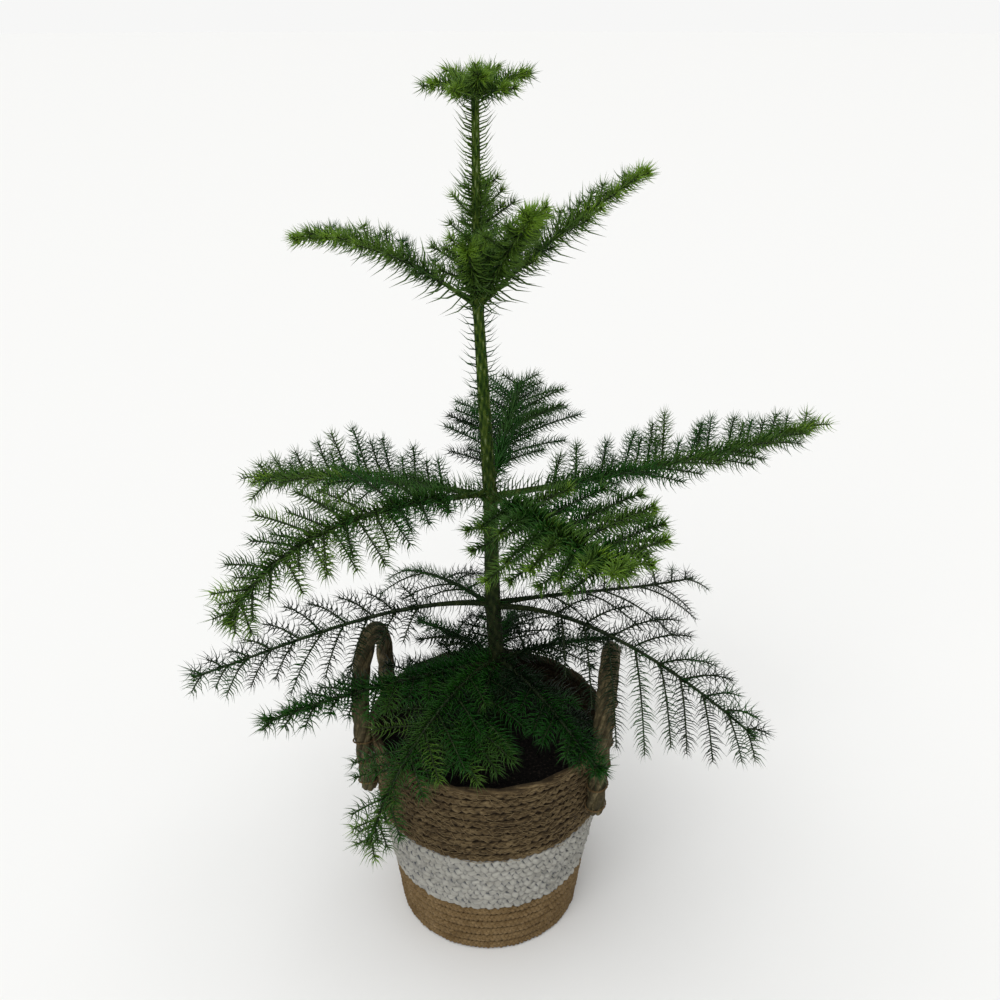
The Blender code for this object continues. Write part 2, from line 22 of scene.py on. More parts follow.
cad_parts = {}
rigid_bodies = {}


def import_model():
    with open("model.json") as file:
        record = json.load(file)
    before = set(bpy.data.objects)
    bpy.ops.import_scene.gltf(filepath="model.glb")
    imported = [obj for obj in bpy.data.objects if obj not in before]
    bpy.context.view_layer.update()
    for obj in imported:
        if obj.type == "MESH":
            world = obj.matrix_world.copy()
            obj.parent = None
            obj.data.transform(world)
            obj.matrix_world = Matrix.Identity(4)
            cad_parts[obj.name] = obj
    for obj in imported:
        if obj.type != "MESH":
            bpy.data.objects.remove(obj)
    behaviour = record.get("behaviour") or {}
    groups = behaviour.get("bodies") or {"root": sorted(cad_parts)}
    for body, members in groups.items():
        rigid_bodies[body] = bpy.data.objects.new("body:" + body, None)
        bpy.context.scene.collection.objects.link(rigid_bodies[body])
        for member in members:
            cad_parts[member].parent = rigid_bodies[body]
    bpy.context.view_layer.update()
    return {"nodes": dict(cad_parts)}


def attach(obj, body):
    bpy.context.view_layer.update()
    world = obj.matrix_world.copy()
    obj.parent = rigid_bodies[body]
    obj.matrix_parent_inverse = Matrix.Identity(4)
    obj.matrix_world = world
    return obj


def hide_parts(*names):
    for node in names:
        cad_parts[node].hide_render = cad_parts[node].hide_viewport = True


for leftover in list(bpy.data.objects):
    bpy.data.objects.remove(leftover, do_unlink=True)

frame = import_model()
MM = 0.001

# %% [markdown]
# ## Helpers for places
#
# Basket and trunk stand round one axis, so a few helpers place points round it
# and read sizes between the rows of a table.

# %% Helpers for places


def mix(low, high, share):
    return low + share * (high - low)


def turns(count, closed=False):
    """Evenly spaced angles of a full turn, closed with the last one again."""
    return [math.tau * index / count for index in range(count + closed)]


def round_axis(radius, turn, height=0.0):
    return Vector((radius * math.cos(turn), radius * math.sin(turn), height))


def lookup(table, height):
    """What a table whose rows start with a height gives at any height."""
    for low, high in zip(table, table[1:]):
        if height <= high[0]:
            share = (height - low[0]) / (high[0] - low[0])
            return [mix(below, above, share) for below, above in zip(low[1:], high[1:])]
    return table[-1][1:]


def add_to_scene(name, data):
    item = bpy.data.objects.new(name, data)
    bpy.context.scene.collection.objects.link(item)
    return item


# %% [markdown]
# ## Node trees
#
# The studio, the finishes and every grown piece are node trees. `Nodes` adds a
# node and fills its inputs in their order. It returns a `Value`, an output that
# may stand in a formula: each sum or product written below becomes a node. So a
# shape's formula can be read as one, which a list of nodes and wires would hide.

# %% A helper for node trees


class Value:
    """An output of a node. A number or a vector may stand in a formula."""

    def __init__(self, tree, socket):
        self.tree, self.socket = tree, socket

    def __getitem__(self, label):
        return Value(self.tree, self.socket.node.outputs[label])

    def __add__(self, other):
        return self.tree.formula("ADD", self, other)

    def __sub__(self, other):
        return self.tree.formula("SUBTRACT", self, other)

    def __rsub__(self, other):
        return self.tree.formula("SUBTRACT", other, self)

    def __mul__(self, other):
        return self.tree.formula("MULTIPLY", self, other)

    def __truediv__(self, other):
        return self.tree.formula("DIVIDE", self, other)


class Nodes:
    """A node tree, wired a node at a time."""

    def __init__(self, group):
        self.group = group

    def join(self, value, socket):
        if isinstance(value, Value):
            self.group.links.new(value.socket, socket)
        elif value is not None:
            socket.default_value = (*value, 1.0) if socket.type == "RGBA" else value

    def add(self, kind, *values, **settings):
        node = self.group.nodes.new(kind)
        for key, value in settings.items():
            setattr(node, key, value)
        for socket, value in zip([socket for socket in node.inputs if socket.enabled], values):
            self.join(value, socket)
        return Value(self, next(output for output in node.outputs if output.enabled))

    def math(self, operation, *values):
        return self.add("ShaderNodeMath", *values, operation=operation)

    def vector(self, operation, *values):
        return self.add("ShaderNodeVectorMath", *values, operation=operation)

    def formula(self, operation, first, second):
        """A step of a formula: with vectors if the first value is one."""
        if isinstance(first, Value) and first.socket.type == "VECTOR":
            return self.vector("SCALE" if operation == "MULTIPLY" else operation, first, second)
        return self.math(operation, first, second)

    def point(self, x, y, z=0.0):
        return self.add("ShaderNodeCombineXYZ", x, y, z)


# %% [markdown]
# ## Camera, light and floor
#
# A camera is a place, a direction and a focal length. The photograph looks down
# at the plant by about 25 degrees from a little above its top. A wide lens close
# by gives the strong perspective: the basket looks slim beneath the crown.
# The light is soft and comes mostly from above, so the lower tiers stand in the
# shade of the upper ones. The world shows the camera the same pale tone as the
# floor, and lights the plant more dimly than that.

# %% Camera and light
CAMERA_PLACE = (0.010292, -0.757209, 0.768165)
CAMERA_LOOKS_DOWN = 25.35
CAMERA_LENS = 37.44
CAMERA_SENSOR = 36.0
FLOOR_RADIUS = 40.0
PALE = (0.86, 0.86, 0.85)
BACKDROP = (0.93, 0.93, 0.925)
AMBIENT_STRENGTH = 0.32

lens = bpy.data.cameras.new("camera")
lens.lens = CAMERA_LENS
lens.sensor_width = CAMERA_SENSOR
lens.clip_end = 4.0 * FLOOR_RADIUS
camera = add_to_scene("camera", lens)
camera.location = CAMERA_PLACE
camera.rotation_euler = (math.radians(90.0 - CAMERA_LOOKS_DOWN), 0.0, 0.0)
bpy.context.scene.camera = camera
bpy.context.scene.view_settings.view_transform = "Standard"


def soft_sun(name, strength, softness, tilt, turn):
    """A wide sun: tilt from straight down and turn round the plant, degrees."""
    light = bpy.data.lights.new(name, "SUN")
    light.energy = strength
    light.angle = math.radians(softness)
    add_to_scene(name, light).rotation_euler = (math.radians(tilt), 0.0, math.radians(turn))


soft_sun("overhead_light", strength=2.0, softness=70.0, tilt=8.0, turn=-40.0)
soft_sun("front_light", strength=1.1, softness=50.0, tilt=52.0, turn=-18.0)

world = bpy.data.worlds.new("studio")
bpy.context.scene.world = world
world.use_nodes = True
sky = Nodes(world.node_tree)
ambient = world.node_tree.nodes["Background"]
sky.join(PALE, ambient.inputs["Color"])
sky.join(AMBIENT_STRENGTH, ambient.inputs["Strength"])
seen = sky.add("ShaderNodeLightPath")["Is Camera Ray"]
backdrop = sky.add("ShaderNodeBackground", BACKDROP)
choice = sky.add("ShaderNodeMixShader", seen, Value(sky, ambient.outputs[0]), backdrop)
sky.join(choice, world.node_tree.nodes["World Output"].inputs["Surface"])
print("camera looks down by", CAMERA_LOOKS_DOWN, "degrees")

# %% [markdown]
# ## Finishes
#
# A material is a node tree too. `Paint` keeps one Principled shader and has a
# method for each thing that a finish needs, so each finish reads as a short
# recipe. Numbers that are the same all over a surface go on the shader's own
# sockets. Patterns read Object coordinates, or the attributes that a piece was
# grown with, so they stay on the surface from every side.

# %% A helper for finishes


class Paint(Nodes):
    """A material with one Principled shader."""

    def __init__(self, name, colour, roughness, shine):
        self.material = bpy.data.materials.new(name)
        self.material.use_nodes = True
        self.material.diffuse_color = (*colour, 1.0)
        super().__init__(self.material.node_tree)
        self.give("Base Color", colour)
        self.give("Roughness", roughness)
        self.give("Specular IOR Level", shine)

    def give(self, label, value):
        """Sets or joins one socket of the shader."""
        self.join(value, self.group.nodes["Principled BSDF"].inputs[label])

    def place(self):
        return self.add("ShaderNodeTexCoord")["Object"]

    def attribute(self, name):
        return self.add("ShaderNodeAttribute", attribute_name=name)["Fac"]

    def stretched(self, vector, scale):
        return self.add("ShaderNodeMapping", vector, None, None, scale)

    def speckle(self, vector, scale, detail=3.0, roughness=0.6):
        return self.add("ShaderNodeTexNoise", vector, scale, detail, roughness)

    def spread(self, value, start, end, low=0.0, high=1.0):
        """The values from start to end, laid out from low to high."""
        return self.add("ShaderNodeMapRange", value, start, end, low, high)

    def ramp(self, value, *stops):
        found = self.add("ShaderNodeValToRGB", value)
        elements = found.socket.node.color_ramp.elements
        while len(elements) < len(stops):
            elements.new(0.5)
        for element, (place, colour) in zip(elements, stops):
            element.position = place
            element.color = (*colour, 1.0)
        return found

    def blend(self, share, first, second):
        return self.add("ShaderNodeMix", share, first, second, data_type="RGBA")

    def relief(self, height, depth):
        bump = self.add("ShaderNodeBump", 1.0, depth)
        self.join(height, bump.socket.node.inputs["Height"])
        self.give("Normal", bump)


# %% The floor
FLOOR_SIDES = 96
floor_mesh = bpy.data.meshes.new("floor")
floor_mesh.from_pydata(
    [round_axis(FLOOR_RADIUS, turn) for turn in turns(FLOOR_SIDES)], [], [list(range(FLOOR_SIDES))])
floor_mesh.materials.append(Paint("pale_floor", PALE, 0.9, 0.1).material)
add_to_scene("floor", floor_mesh)
print("floor radius, m:", FLOOR_RADIUS)

# %% [markdown]
# ## Growing pieces
#
# A Geometry Nodes tree is a recipe for a mesh. `Tree` builds one with named
# inputs, and `grow` runs it: the guide mesh gets the tree as a modifier, its
# inputs are set by socket identifier before Blender evaluates it, and the result
# is kept as a plain mesh with no modifier left. `hand_over` tells the frame what
# each finished piece rides on and what it stands for.

# %% A helper for Geometry Nodes


class Tree(Nodes):
    """A Geometry Nodes tree with named inputs."""

    def __init__(self, name, **sizes):
        super().__init__(bpy.data.node_groups.new(name, "GeometryNodeTree"))
        face = self.group.interface
        face.new_socket("Geometry", in_out="INPUT", socket_type="NodeSocketGeometry")
        self.keys = {}
        for label, value in sizes.items():
            kind = {int: "Int", float: "Float"}.get(type(value), "Material")
            socket = face.new_socket(label, in_out="INPUT", socket_type="NodeSocket" + kind)
            socket.default_value = value
            self.keys[label] = socket.identifier
        face.new_socket("Geometry", in_out="OUTPUT", socket_type="NodeSocketGeometry")
        self.source = self.group.nodes.new("NodeGroupInput")
        self.result = self.group.nodes.new("NodeGroupOutput").inputs[0]

    def __getitem__(self, label):
        return Value(self, self.source.outputs[label])

    def sin(self, turn):
        return self.math("SINE", turn)

    def cos(self, turn):
        return self.math("COSINE", turn)

    def noise(self, place, scale, detail, roughness):
        """Smooth noise about zero."""
        return self.add("ShaderNodeTexNoise", place, scale, detail, roughness) - 0.5

    def random(self, low, high, seed):
        return self.add("FunctionNodeRandomValue", low, high, None, seed, data_type="FLOAT")

    def named(self, name):
        return self.add("GeometryNodeInputNamedAttribute", name, data_type="FLOAT")

    def store(self, geometry, name, value):
        return self.add("GeometryNodeStoreNamedAttribute", geometry, None, name, value, data_type="FLOAT")

    def circle(self, points, radius):
        return self.add("GeometryNodeCurvePrimitiveCircle", points, radius, mode="RADIUS")

    def section(self, sides, radius):
        """The section of a strand, which stores how far across it a point is."""
        around = self.add("GeometryNodeSplineParameter") * math.tau
        return self.store(self.circle(sides, radius), "across", self.sin(around))

    def spoke(self, tangent, normal, turn, flatness=1.0):
        """A direction that points away from a path, turned round it."""
        sideways = self.vector("CROSS_PRODUCT", tangent, normal)
        return normal * self.cos(turn) + sideways * (self.sin(turn) * flatness)

    def finish(self, geometry):
        real = self.add("GeometryNodeRealizeInstances", geometry)
        smooth = self.add("GeometryNodeSetShadeSmooth", real, None, True)
        self.join(self.add("GeometryNodeSetMaterial", smooth, None, self["paint"]), self.result)


# %% Helpers that keep and hand over a finished piece


def hand_over(name, mesh, slot, *nodes):
    """Puts a mesh in the scene and hides the solids it stands for; its material slot is not used."""
    mesh.name = name
    piece = add_to_scene(name, mesh)
    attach(piece, "root")
    if nodes:
        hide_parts(*nodes)
    print(name, sum(len(face.vertices) - 2 for face in mesh.polygons), "triangles")


def grow(name, guide, tree, slot, *nodes, **values):
    """Runs a tree on a guide mesh and hands the result over as a plain mesh."""
    source = add_to_scene(name + "_guide", guide)
    modifier = source.modifiers.new("grow", "NODES")
    modifier.node_group = tree.group
    for label, value in values.items():
        modifier[tree.keys[label]] = value
    mesh = bpy.data.meshes.new_from_object(source.evaluated_get(bpy.context.evaluated_depsgraph_get()))
    bpy.data.objects.remove(source, do_unlink=True)
    for index in reversed(range(len(mesh.materials))):
        if mesh.materials[index] is None:
            mesh.materials.pop(index=index)
    hand_over(name, mesh, slot, *nodes)


def guide_paths(paths):
    """A mesh of edge chains with one number per point for each attribute."""
    points, edges, values = [], [], {}
    for path in paths:
        first, count = len(points), len(path["points"])
        points += path["points"]
        edges += [(first + index, first + index + 1) for index in range(count - 1)]
        for label, value in path.items():
            if label != "points":
                values.setdefault(label, []).extend(value if isinstance(value, list) else [value] * count)
    mesh = bpy.data.meshes.new("guide")
    mesh.from_pydata([tuple(point) for point in points], edges, [])
    for label, numbers in values.items():
        mesh.attributes.new(label, "FLOAT", "POINT").data.foreach_set("value", numbers)
    return mesh


# %% [markdown]
# ## The woven basket
#
# The basket is a long three-strand plait, wound round in rows and sewn to
# itself. A flat plait is simple to describe: each strand swings from edge to
# edge like a sine, and dips under its neighbour twice in each swing. Three
# strands a third of a swing apart make the weave. One tree makes all rows of a
# band: it copies a circle once for each strand, bends it by that formula and
# gives it a flattened round section. The same tree winds the rows of the
# underside, where the strands swing outward instead of upward. Drawing each
# strand by hand would take thousands of points, and a bump pattern on a smooth
# pot would look flat at its outline and at the rim.

# %% Sizes of the basket, the same as in the CAD source
BASE_RADIUS = 0.083
FOOT_TOP_HEIGHT = 0.057
FOOT_TOP_RADIUS = 0.090
WHITE_TOP_HEIGHT = 0.121
WHITE_TOP_RADIUS = 0.101
RIM_HEIGHT = 0.201
RIM_RADIUS = 0.105
WALL = 0.007
FLOOR = 0.006
EDGE_ROUNDING = 0.004
GAP = 0.0003
WALL_ROWS = ((0.0, BASE_RADIUS), (FOOT_TOP_HEIGHT, FOOT_TOP_RADIUS), (WHITE_TOP_HEIGHT, WHITE_TOP_RADIUS),
             (RIM_HEIGHT, RIM_RADIUS))


def basket_radius(height):
    """Outer radius of the woven wall at a height."""
    return lookup(WALL_ROWS, height)[0]


print("radius half way up, mm:", round(basket_radius(RIM_HEIGHT / 2.0) / MM, 1))

# %% The plait tree
# Each noise has a scale, a detail and a roughness: one lets the swings stray from
# their beat, one makes a row wavy, and one makes a strand thick and thin.
STRANDS = 3
ROW_SHIFT = 2.399
ROW_GRAIN = 0.37
SECTION_SIDES = 8
STRAY_NOISE = (9.0, 2.0, 0.5)
WOBBLE_NOISE = (13.0, 3.0, 0.6)
SHAG_NOISE = (160.0, 2.0, 0.5)


def plait_tree(material):
    """Rows of a flat three-strand plait between two circles."""
    tree = Tree(
        "plait_rows", rows=8, turn_points=300, swings=30, low=0.0, high=0.05,
        low_radius=0.09, high_radius=0.1, swing_up=0.002, swing_out=0.0, dip_up=0.0,
        dip_out=0.001, section_out=0.002, section_up=0.003, wobble=0.0003, shag=1.0,
        stray=1.0, paint=material,
    )
    index = tree.add("GeometryNodeInputIndex")
    row = tree.math("FLOOR", (index + 0.5) / STRANDS)
    starts = tree.store(tree.add("GeometryNodePoints", tree["rows"] * STRANDS), "row", row)
    starts = tree.store(starts, "strand", index - row * STRANDS)
    copies = tree.add("GeometryNodeInstanceOnPoints", starts, None, tree.circle(tree["turn_points"], 1.0))
    rings = tree.add("GeometryNodeRealizeInstances", copies)

    row = tree.named("row")
    turn = tree.add("GeometryNodeSplineParameter") * math.tau
    east, north = tree.cos(turn), tree.sin(turn)
    place = tree.point(east, north, row)
    swing = turn * tree["swings"] + row * ROW_SHIFT + tree.named("strand") * (math.tau / STRANDS)
    swing = swing + tree.noise(place, *STRAY_NOISE) * tree["stray"]
    sway, dip = tree.sin(swing), tree.sin(swing * 2.0)
    share = (row + 0.5) / tree["rows"]
    height = mix(tree["low"], tree["high"], share) + sway * tree["swing_up"] + dip * tree["dip_up"]
    height = height + tree.noise(place, *WOBBLE_NOISE) * tree["wobble"]
    reach = mix(tree["low_radius"], tree["high_radius"], share) + sway * tree["swing_out"] + dip * tree["dip_out"]
    bent = tree.add("GeometryNodeSetPosition", rings, None, tree.point(east * reach, north * reach, height))
    bent = tree.add("GeometryNodeSetCurveNormal", bent, None, mode="Z_UP")
    length = tree.add("GeometryNodeSplineParameter")["Length"]
    bent = tree.store(bent, "along", row * ROW_GRAIN + length)
    bent = tree.store(bent, "depth", dip)

    flat = tree.point(tree["section_out"], tree["section_up"], 1.0)
    flat = tree.vector("MULTIPLY", tree.add("GeometryNodeInputPosition"), flat)
    section = tree.add("GeometryNodeSetPosition", tree.section(SECTION_SIDES, 1.0), None, flat)
    girth = tree.noise(None, *SHAG_NOISE) * tree["shag"] + 1.0
    tree.finish(tree.add("GeometryNodeCurveToMesh", bent, section, girth, False))
    return tree


# %% [markdown]
# ## Finishes of the weave
#
# Seagrass is a bundle of dry blades: streaks run along each strand, and some blades
# are pale and some nearly black. The strand is darkened at its edges, painted shade
# in the crease between strands together with the dark thread there, and where it
# dips under its neighbour, painted shade. The tree stored how far along and across
# the strand each point is, so the streaks and the painted shade follow the plait.
# On the brown band the faces that look at the axis are darkened too: painted shade,
# for the inner wall in the shade of the crown.

# %% Finishes of the weave
BLADE_SHARE = 0.7
PATCH_SCALE = 45.0
DIP_SHADE = 0.22
DARKEST = 0.95
LOOKS_INWARD = -0.05
WEAVE_RELIEF = 0.0007


def woven_paint(name, dark, middle, light, edge_shade_and_thread, streak, edge, sharp=4.0, inside=0.0):
    """A plaited finish: streaks along the strand, painted shade and the thread's tone at its edges, and painted shade
    where it dips and on faces that look inward.
    """
    paint = Paint(name, middle, 0.85, 0.2)
    across = paint.attribute("across")
    place = paint.point(paint.attribute("along"), across)
    blades = paint.speckle(paint.stretched(place, (streak, 1.3, 1.0)), 1.0, 4.0, 0.65)
    fibres = paint.speckle(paint.stretched(place, (3.0 * streak, 5.0, 1.0)), 1.0, 3.0, 0.6)
    patches = paint.speckle(paint.place(), PATCH_SCALE)
    tone = blades * BLADE_SHARE + patches * (1.0 - BLADE_SHARE)
    tone = paint.ramp(tone, (0.36, dark), (0.50, middle), (0.66, light))
    # Painted shade: the strand is darkened towards its edges, for the shade in the crease between strands and the
    # thread there, and where it dips under its neighbour.
    shade = paint.math("POWER", paint.math("ABSOLUTE", across), sharp) * edge
    shade = shade + (1.0 - paint.attribute("depth")) * DIP_SHADE
    # Painted shade: faces that look towards the axis are darkened, for the inner wall in the shade of the crown.
    flat = paint.stretched(paint.place(), (1.0, 1.0, 0.0))
    facing = paint.vector("DOT_PRODUCT", flat, paint.add("ShaderNodeTexCoord")["Normal"])
    shade = paint.math("MAXIMUM", shade, paint.spread(facing, 0.0, LOOKS_INWARD, 0.0, inside))
    paint.give("Base Color", paint.blend(paint.math("MINIMUM", shade, DARKEST), tone, edge_shade_and_thread))
    paint.give("Roughness", paint.spread(fibres, 0.0, 1.0, 0.70, 0.95))
    paint.relief(fibres + blades, WEAVE_RELIEF)
    return paint.material


brown_weave = woven_paint(
    "plaited_brown", (0.032, 0.020, 0.008), (0.098, 0.066, 0.029), (0.240, 0.175, 0.088), (0.014, 0.009, 0.004),
    streak=150.0, edge=0.90, inside=0.85)
white_weave = woven_paint(
    "plaited_white", (0.31, 0.300, 0.262), (0.40, 0.390, 0.348), (0.48, 0.470, 0.425), (0.100, 0.106, 0.115),
    streak=40.0, edge=2.00, sharp=6.0)
golden_weave = woven_paint(
    "plaited_gold", (0.115, 0.068, 0.024), (0.200, 0.130, 0.056), (0.300, 0.205, 0.100), (0.045, 0.028, 0.012),
    streak=170.0, edge=0.75)
print("woven finishes:", brown_weave.name, white_weave.name, golden_weave.name)

# %% The three bands
Band = namedtuple("Band", "name node slot paint low high rows swings points out up dip swing wobble shag stray")
RIM_ROLL = 0.0035
FOOT_LOW = 0.0008
BANDS = (
    Band("foot_band_weave", "basket_foot_band", "golden_jute", golden_weave, FOOT_LOW, FOOT_TOP_HEIGHT,
         6, 44, 396, 0.0016, 0.0027, 0.0009, 0.22, 0.0014, 1.0, 2.0),
    Band("white_band_weave", "basket_white_band", "white_seagrass", white_weave, FOOT_TOP_HEIGHT, WHITE_TOP_HEIGHT,
         5, 31, 372, 0.0018, 0.0036, 0.0012, 0.32, 0.0040, 1.2, 5.0),
    Band("top_band_weave", "basket_top_band", "brown_seagrass", brown_weave, WHITE_TOP_HEIGHT, RIM_HEIGHT - RIM_ROLL,
         10, 30, 300, 0.0015, 0.0021, 0.0011, 0.22, 0.0027, 1.6, 4.0),
)
plait = plait_tree(brown_weave)
for band in BANDS:
    inset = band.out + band.dip
    grow(band.name, guide_paths([]), plait, band.slot, band.node, rows=band.rows, turn_points=band.points,
         swings=band.swings, low=band.low, high=band.high, low_radius=basket_radius(band.low) - inset,
         high_radius=basket_radius(band.high) - inset, swing_up=band.swing * (band.high - band.low) / band.rows,
         dip_out=band.dip, section_out=band.out, section_up=band.up, wobble=band.wobble, shag=band.shag,
         stray=band.stray, paint=band.paint)

# %% The underside, plaited in rings
BASE_MIDDLE = 0.0028
grow("underside_weave", guide_paths([]), plait, "golden_jute", rows=8, turn_points=128, swings=16,
     low=BASE_MIDDLE, high=BASE_MIDDLE, low_radius=0.0, high_radius=BASE_RADIUS - EDGE_ROUNDING, swing_up=0.0,
     swing_out=0.0022, dip_out=0.0, dip_up=0.0008, section_out=0.0026, section_up=0.0010, wobble=0.0,
     paint=golden_weave)

# %% [markdown]
# ## The lining behind the weave
#
# Between two rows of a real plait one sees the dark thread and the row behind,
# never daylight. A thin ring in the middle of the wall closes the gaps. Its paint
# is dark: the thread's tone and the painted shade of the row behind. It is a
# profile turned round the axis, which is the quickest way to make a round wall.

# %% The lining
LINING_SIDES = 96
LINING_OUT = 0.0026
LINING_IN = 0.0036
SAME_PLACE = 0.000001


def closed_mesh(name, shape):
    """Keeps an edited shape as a mesh whose faces all look outward."""
    bmesh.ops.recalc_face_normals(shape, faces=shape.faces)
    mesh = bpy.data.meshes.new(name)
    shape.to_mesh(mesh)
    shape.free()
    return mesh


def turned(name, profile, paint, slot):
    """A closed profile of (radius, height) turned round the vertical axis."""
    shape = bmesh.new()
    rings = [[shape.verts.new(round_axis(radius, turn, height)) for radius, height in profile]
             for turn in turns(LINING_SIDES)]
    for ring, following in zip(rings, rings[1:] + rings[:1]):
        for corner in range(len(profile)):
            other = (corner + 1) % len(profile)
            shape.faces.new((ring[corner], following[corner], following[other], ring[other]))
    bmesh.ops.remove_doubles(shape, verts=shape.verts, dist=SAME_PLACE)
    mesh = closed_mesh(name, shape)
    mesh.materials.append(paint)
    hand_over(name, mesh, slot)


def wall_profile(low, high):
    return [(basket_radius(low) - LINING_OUT, low), (basket_radius(high) - LINING_OUT, high),
            (basket_radius(high) - LINING_IN, high), (basket_radius(low) - LINING_IN, low)]


# The lining is painted dark: the thread's tone together with painted shade for the row behind the gap.
shade_and_thread_dark = Paint("dark_thread", (0.020, 0.013, 0.007), 0.95, 0.1).material
shade_and_thread_grey = Paint("grey_thread", (0.150, 0.156, 0.165), 0.95, 0.1).material
foot_profile = [(0.0, BASE_MIDDLE), (BASE_RADIUS - LINING_OUT, BASE_MIDDLE),
                *wall_profile(FLOOR, FOOT_TOP_HEIGHT)[1:], (0.0, FLOOR)]
turned("foot_band_lining", foot_profile, shade_and_thread_dark, "golden_jute")
turned("white_band_lining", wall_profile(FOOT_TOP_HEIGHT, WHITE_TOP_HEIGHT), shade_and_thread_grey, "white_seagrass")
turned("top_band_lining", wall_profile(WHITE_TOP_HEIGHT, RIM_HEIGHT - RIM_ROLL), shade_and_thread_dark, "brown_seagrass")

# %% [markdown]
# ## Rope
#
# A rope is some plies laid round each other. The tree copies the path once for
# each ply and pushes every copy away from the path, in a direction that turns as
# it goes. The handles are thick bundles of five plies that are hardly twisted, the
# rolled rim is a loose rope of two plies, and thin cord binds the legs of the
# handles to the wall.

# %% The rope tree
ROPE_STEP = 0.0016
ROPE_SIDES = 10
PLY_GRAIN = 0.31


def rope_tree(material):
    """Plies laid round a guide path; girth on the path tapers the ends."""
    tree = Tree("laid_rope", plies=3, pitch=0.036, ply=0.0037, spread=0.0033, paint=material)
    curves = tree.add("GeometryNodeMeshToCurve", tree["Geometry"])
    curves = tree.add("GeometryNodeResampleCurve", curves, None, ROPE_STEP, mode="LENGTH")
    copies = tree.add("GeometryNodeDuplicateElements", curves, None, tree["plies"], domain="SPLINE")
    share = copies["Duplicate Index"] / tree["plies"]
    length = tree.add("GeometryNodeSplineParameter")["Length"]
    turn = (length / tree["pitch"] + share) * math.tau
    away = tree.spoke(tree.add("GeometryNodeInputTangent"), tree.add("GeometryNodeInputNormal"), turn)
    away = away * (tree["spread"] * tree.named("girth"))
    plies = tree.add("GeometryNodeSetPosition", copies, None, None, away)
    plies = tree.store(plies, "along", share * PLY_GRAIN + length)
    plies = tree.store(plies, "depth", 1.0)
    section = tree.section(ROPE_SIDES, tree["ply"])
    tree.finish(tree.add("GeometryNodeCurveToMesh", plies, section, tree.named("girth"), True))
    return tree


rope = rope_tree(woven_paint(
    "laid_grass", (0.026, 0.022, 0.009), (0.082, 0.066, 0.031), (0.215, 0.170, 0.090), (0.012, 0.010, 0.005),
    streak=130.0, edge=0.55))

# %% The rolled rim
RIM_PLY = 0.0022
RIM_TURNS = 9
RIM_STEPS = 180
rim_reach = RIM_RADIUS - RIM_ROLL
rim_path = [round_axis(rim_reach, turn, RIM_HEIGHT - RIM_ROLL) for turn in turns(RIM_STEPS, closed=True)]
grow("rolled_rim", guide_paths([{"points": rim_path, "girth": 1.0}]), rope, "brown_seagrass", plies=2,
     pitch=math.tau * rim_reach / RIM_TURNS, ply=RIM_PLY, spread=RIM_ROLL - RIM_PLY, paint=brown_weave)

# %% The handles' paths, the same as in the CAD source
ROPE_RADIUS = 0.007
HANDLES = (("handle_right", -10.0), ("handle_left", 172.0))
HANDLE_HALF_SPREAD = 23.0
HANDLE_FOOT_HEIGHT = 0.140
HANDLE_SHOULDER_HEIGHT = 0.222
HANDLE_TOP_HEIGHT = 0.270
HANDLE_TOP_REACH = 0.105
HANDLE_SEAT = ROPE_RADIUS + 2.0 * GAP
ARCH_POINTS = 41
LEG_STEP = 0.003


def handle_path(azimuth):
    """A leg up the wall, an arch above the rim and a leg down again."""
    steps = round((RIM_HEIGHT - HANDLE_FOOT_HEIGHT) / LEG_STEP)
    leg, arch = [], []
    for index in range(steps + 1):
        height = mix(HANDLE_FOOT_HEIGHT, RIM_HEIGHT, index / steps)
        leg.append(round_axis(basket_radius(height) + HANDLE_SEAT, math.radians(HANDLE_HALF_SPREAD), height))
    for index in range(ARCH_POINTS):
        turn = math.pi * index / (ARCH_POINTS - 1)
        height = mix(HANDLE_SHOULDER_HEIGHT, HANDLE_TOP_HEIGHT, math.sin(turn))
        lean = (height - RIM_HEIGHT) / (HANDLE_TOP_HEIGHT - RIM_HEIGHT)
        arch.append(Vector((mix(leg[-1].x, HANDLE_TOP_REACH, lean), -leg[-1].y * math.cos(turn), height)))
    front = [Vector((spot.x, -spot.y, spot.z)) for spot in leg]
    turned_round = Matrix.Rotation(math.radians(azimuth), 3, "Z")
    return [turned_round @ spot for spot in front + arch + leg[::-1]]


# %% The rope handles and their bindings
VISIBLE_RADIUS = 0.0080
PLIES = 5
PLY_SHARE = 0.44
LAY_LENGTH = 0.110
END_TAPER = (0.72, 0.93)
BINDING_HEIGHTS = (0.149, 0.171, 0.193)
BINDING_TILT = 0.25
CORD = 0.0008
CORD_LAY = 0.006
CORD_PLY_SHARE = 0.6
CORD_SPREAD_SHARE = 0.5
CORD_STEPS = 20


def binding_loop(azimuth, height):
    """A ring of cord round one leg of a handle."""
    turn = math.radians(azimuth)
    outward = round_axis(1.0, turn)
    sideways = Vector((-outward.y, outward.x, BINDING_TILT))
    middle = round_axis(basket_radius(height) + HANDLE_SEAT, turn, height)
    return {"girth": 1.0, "points": [
        middle + (VISIBLE_RADIUS + CORD) * (outward * math.cos(step) + sideways * math.sin(step))
        for step in turns(CORD_STEPS, closed=True)]}


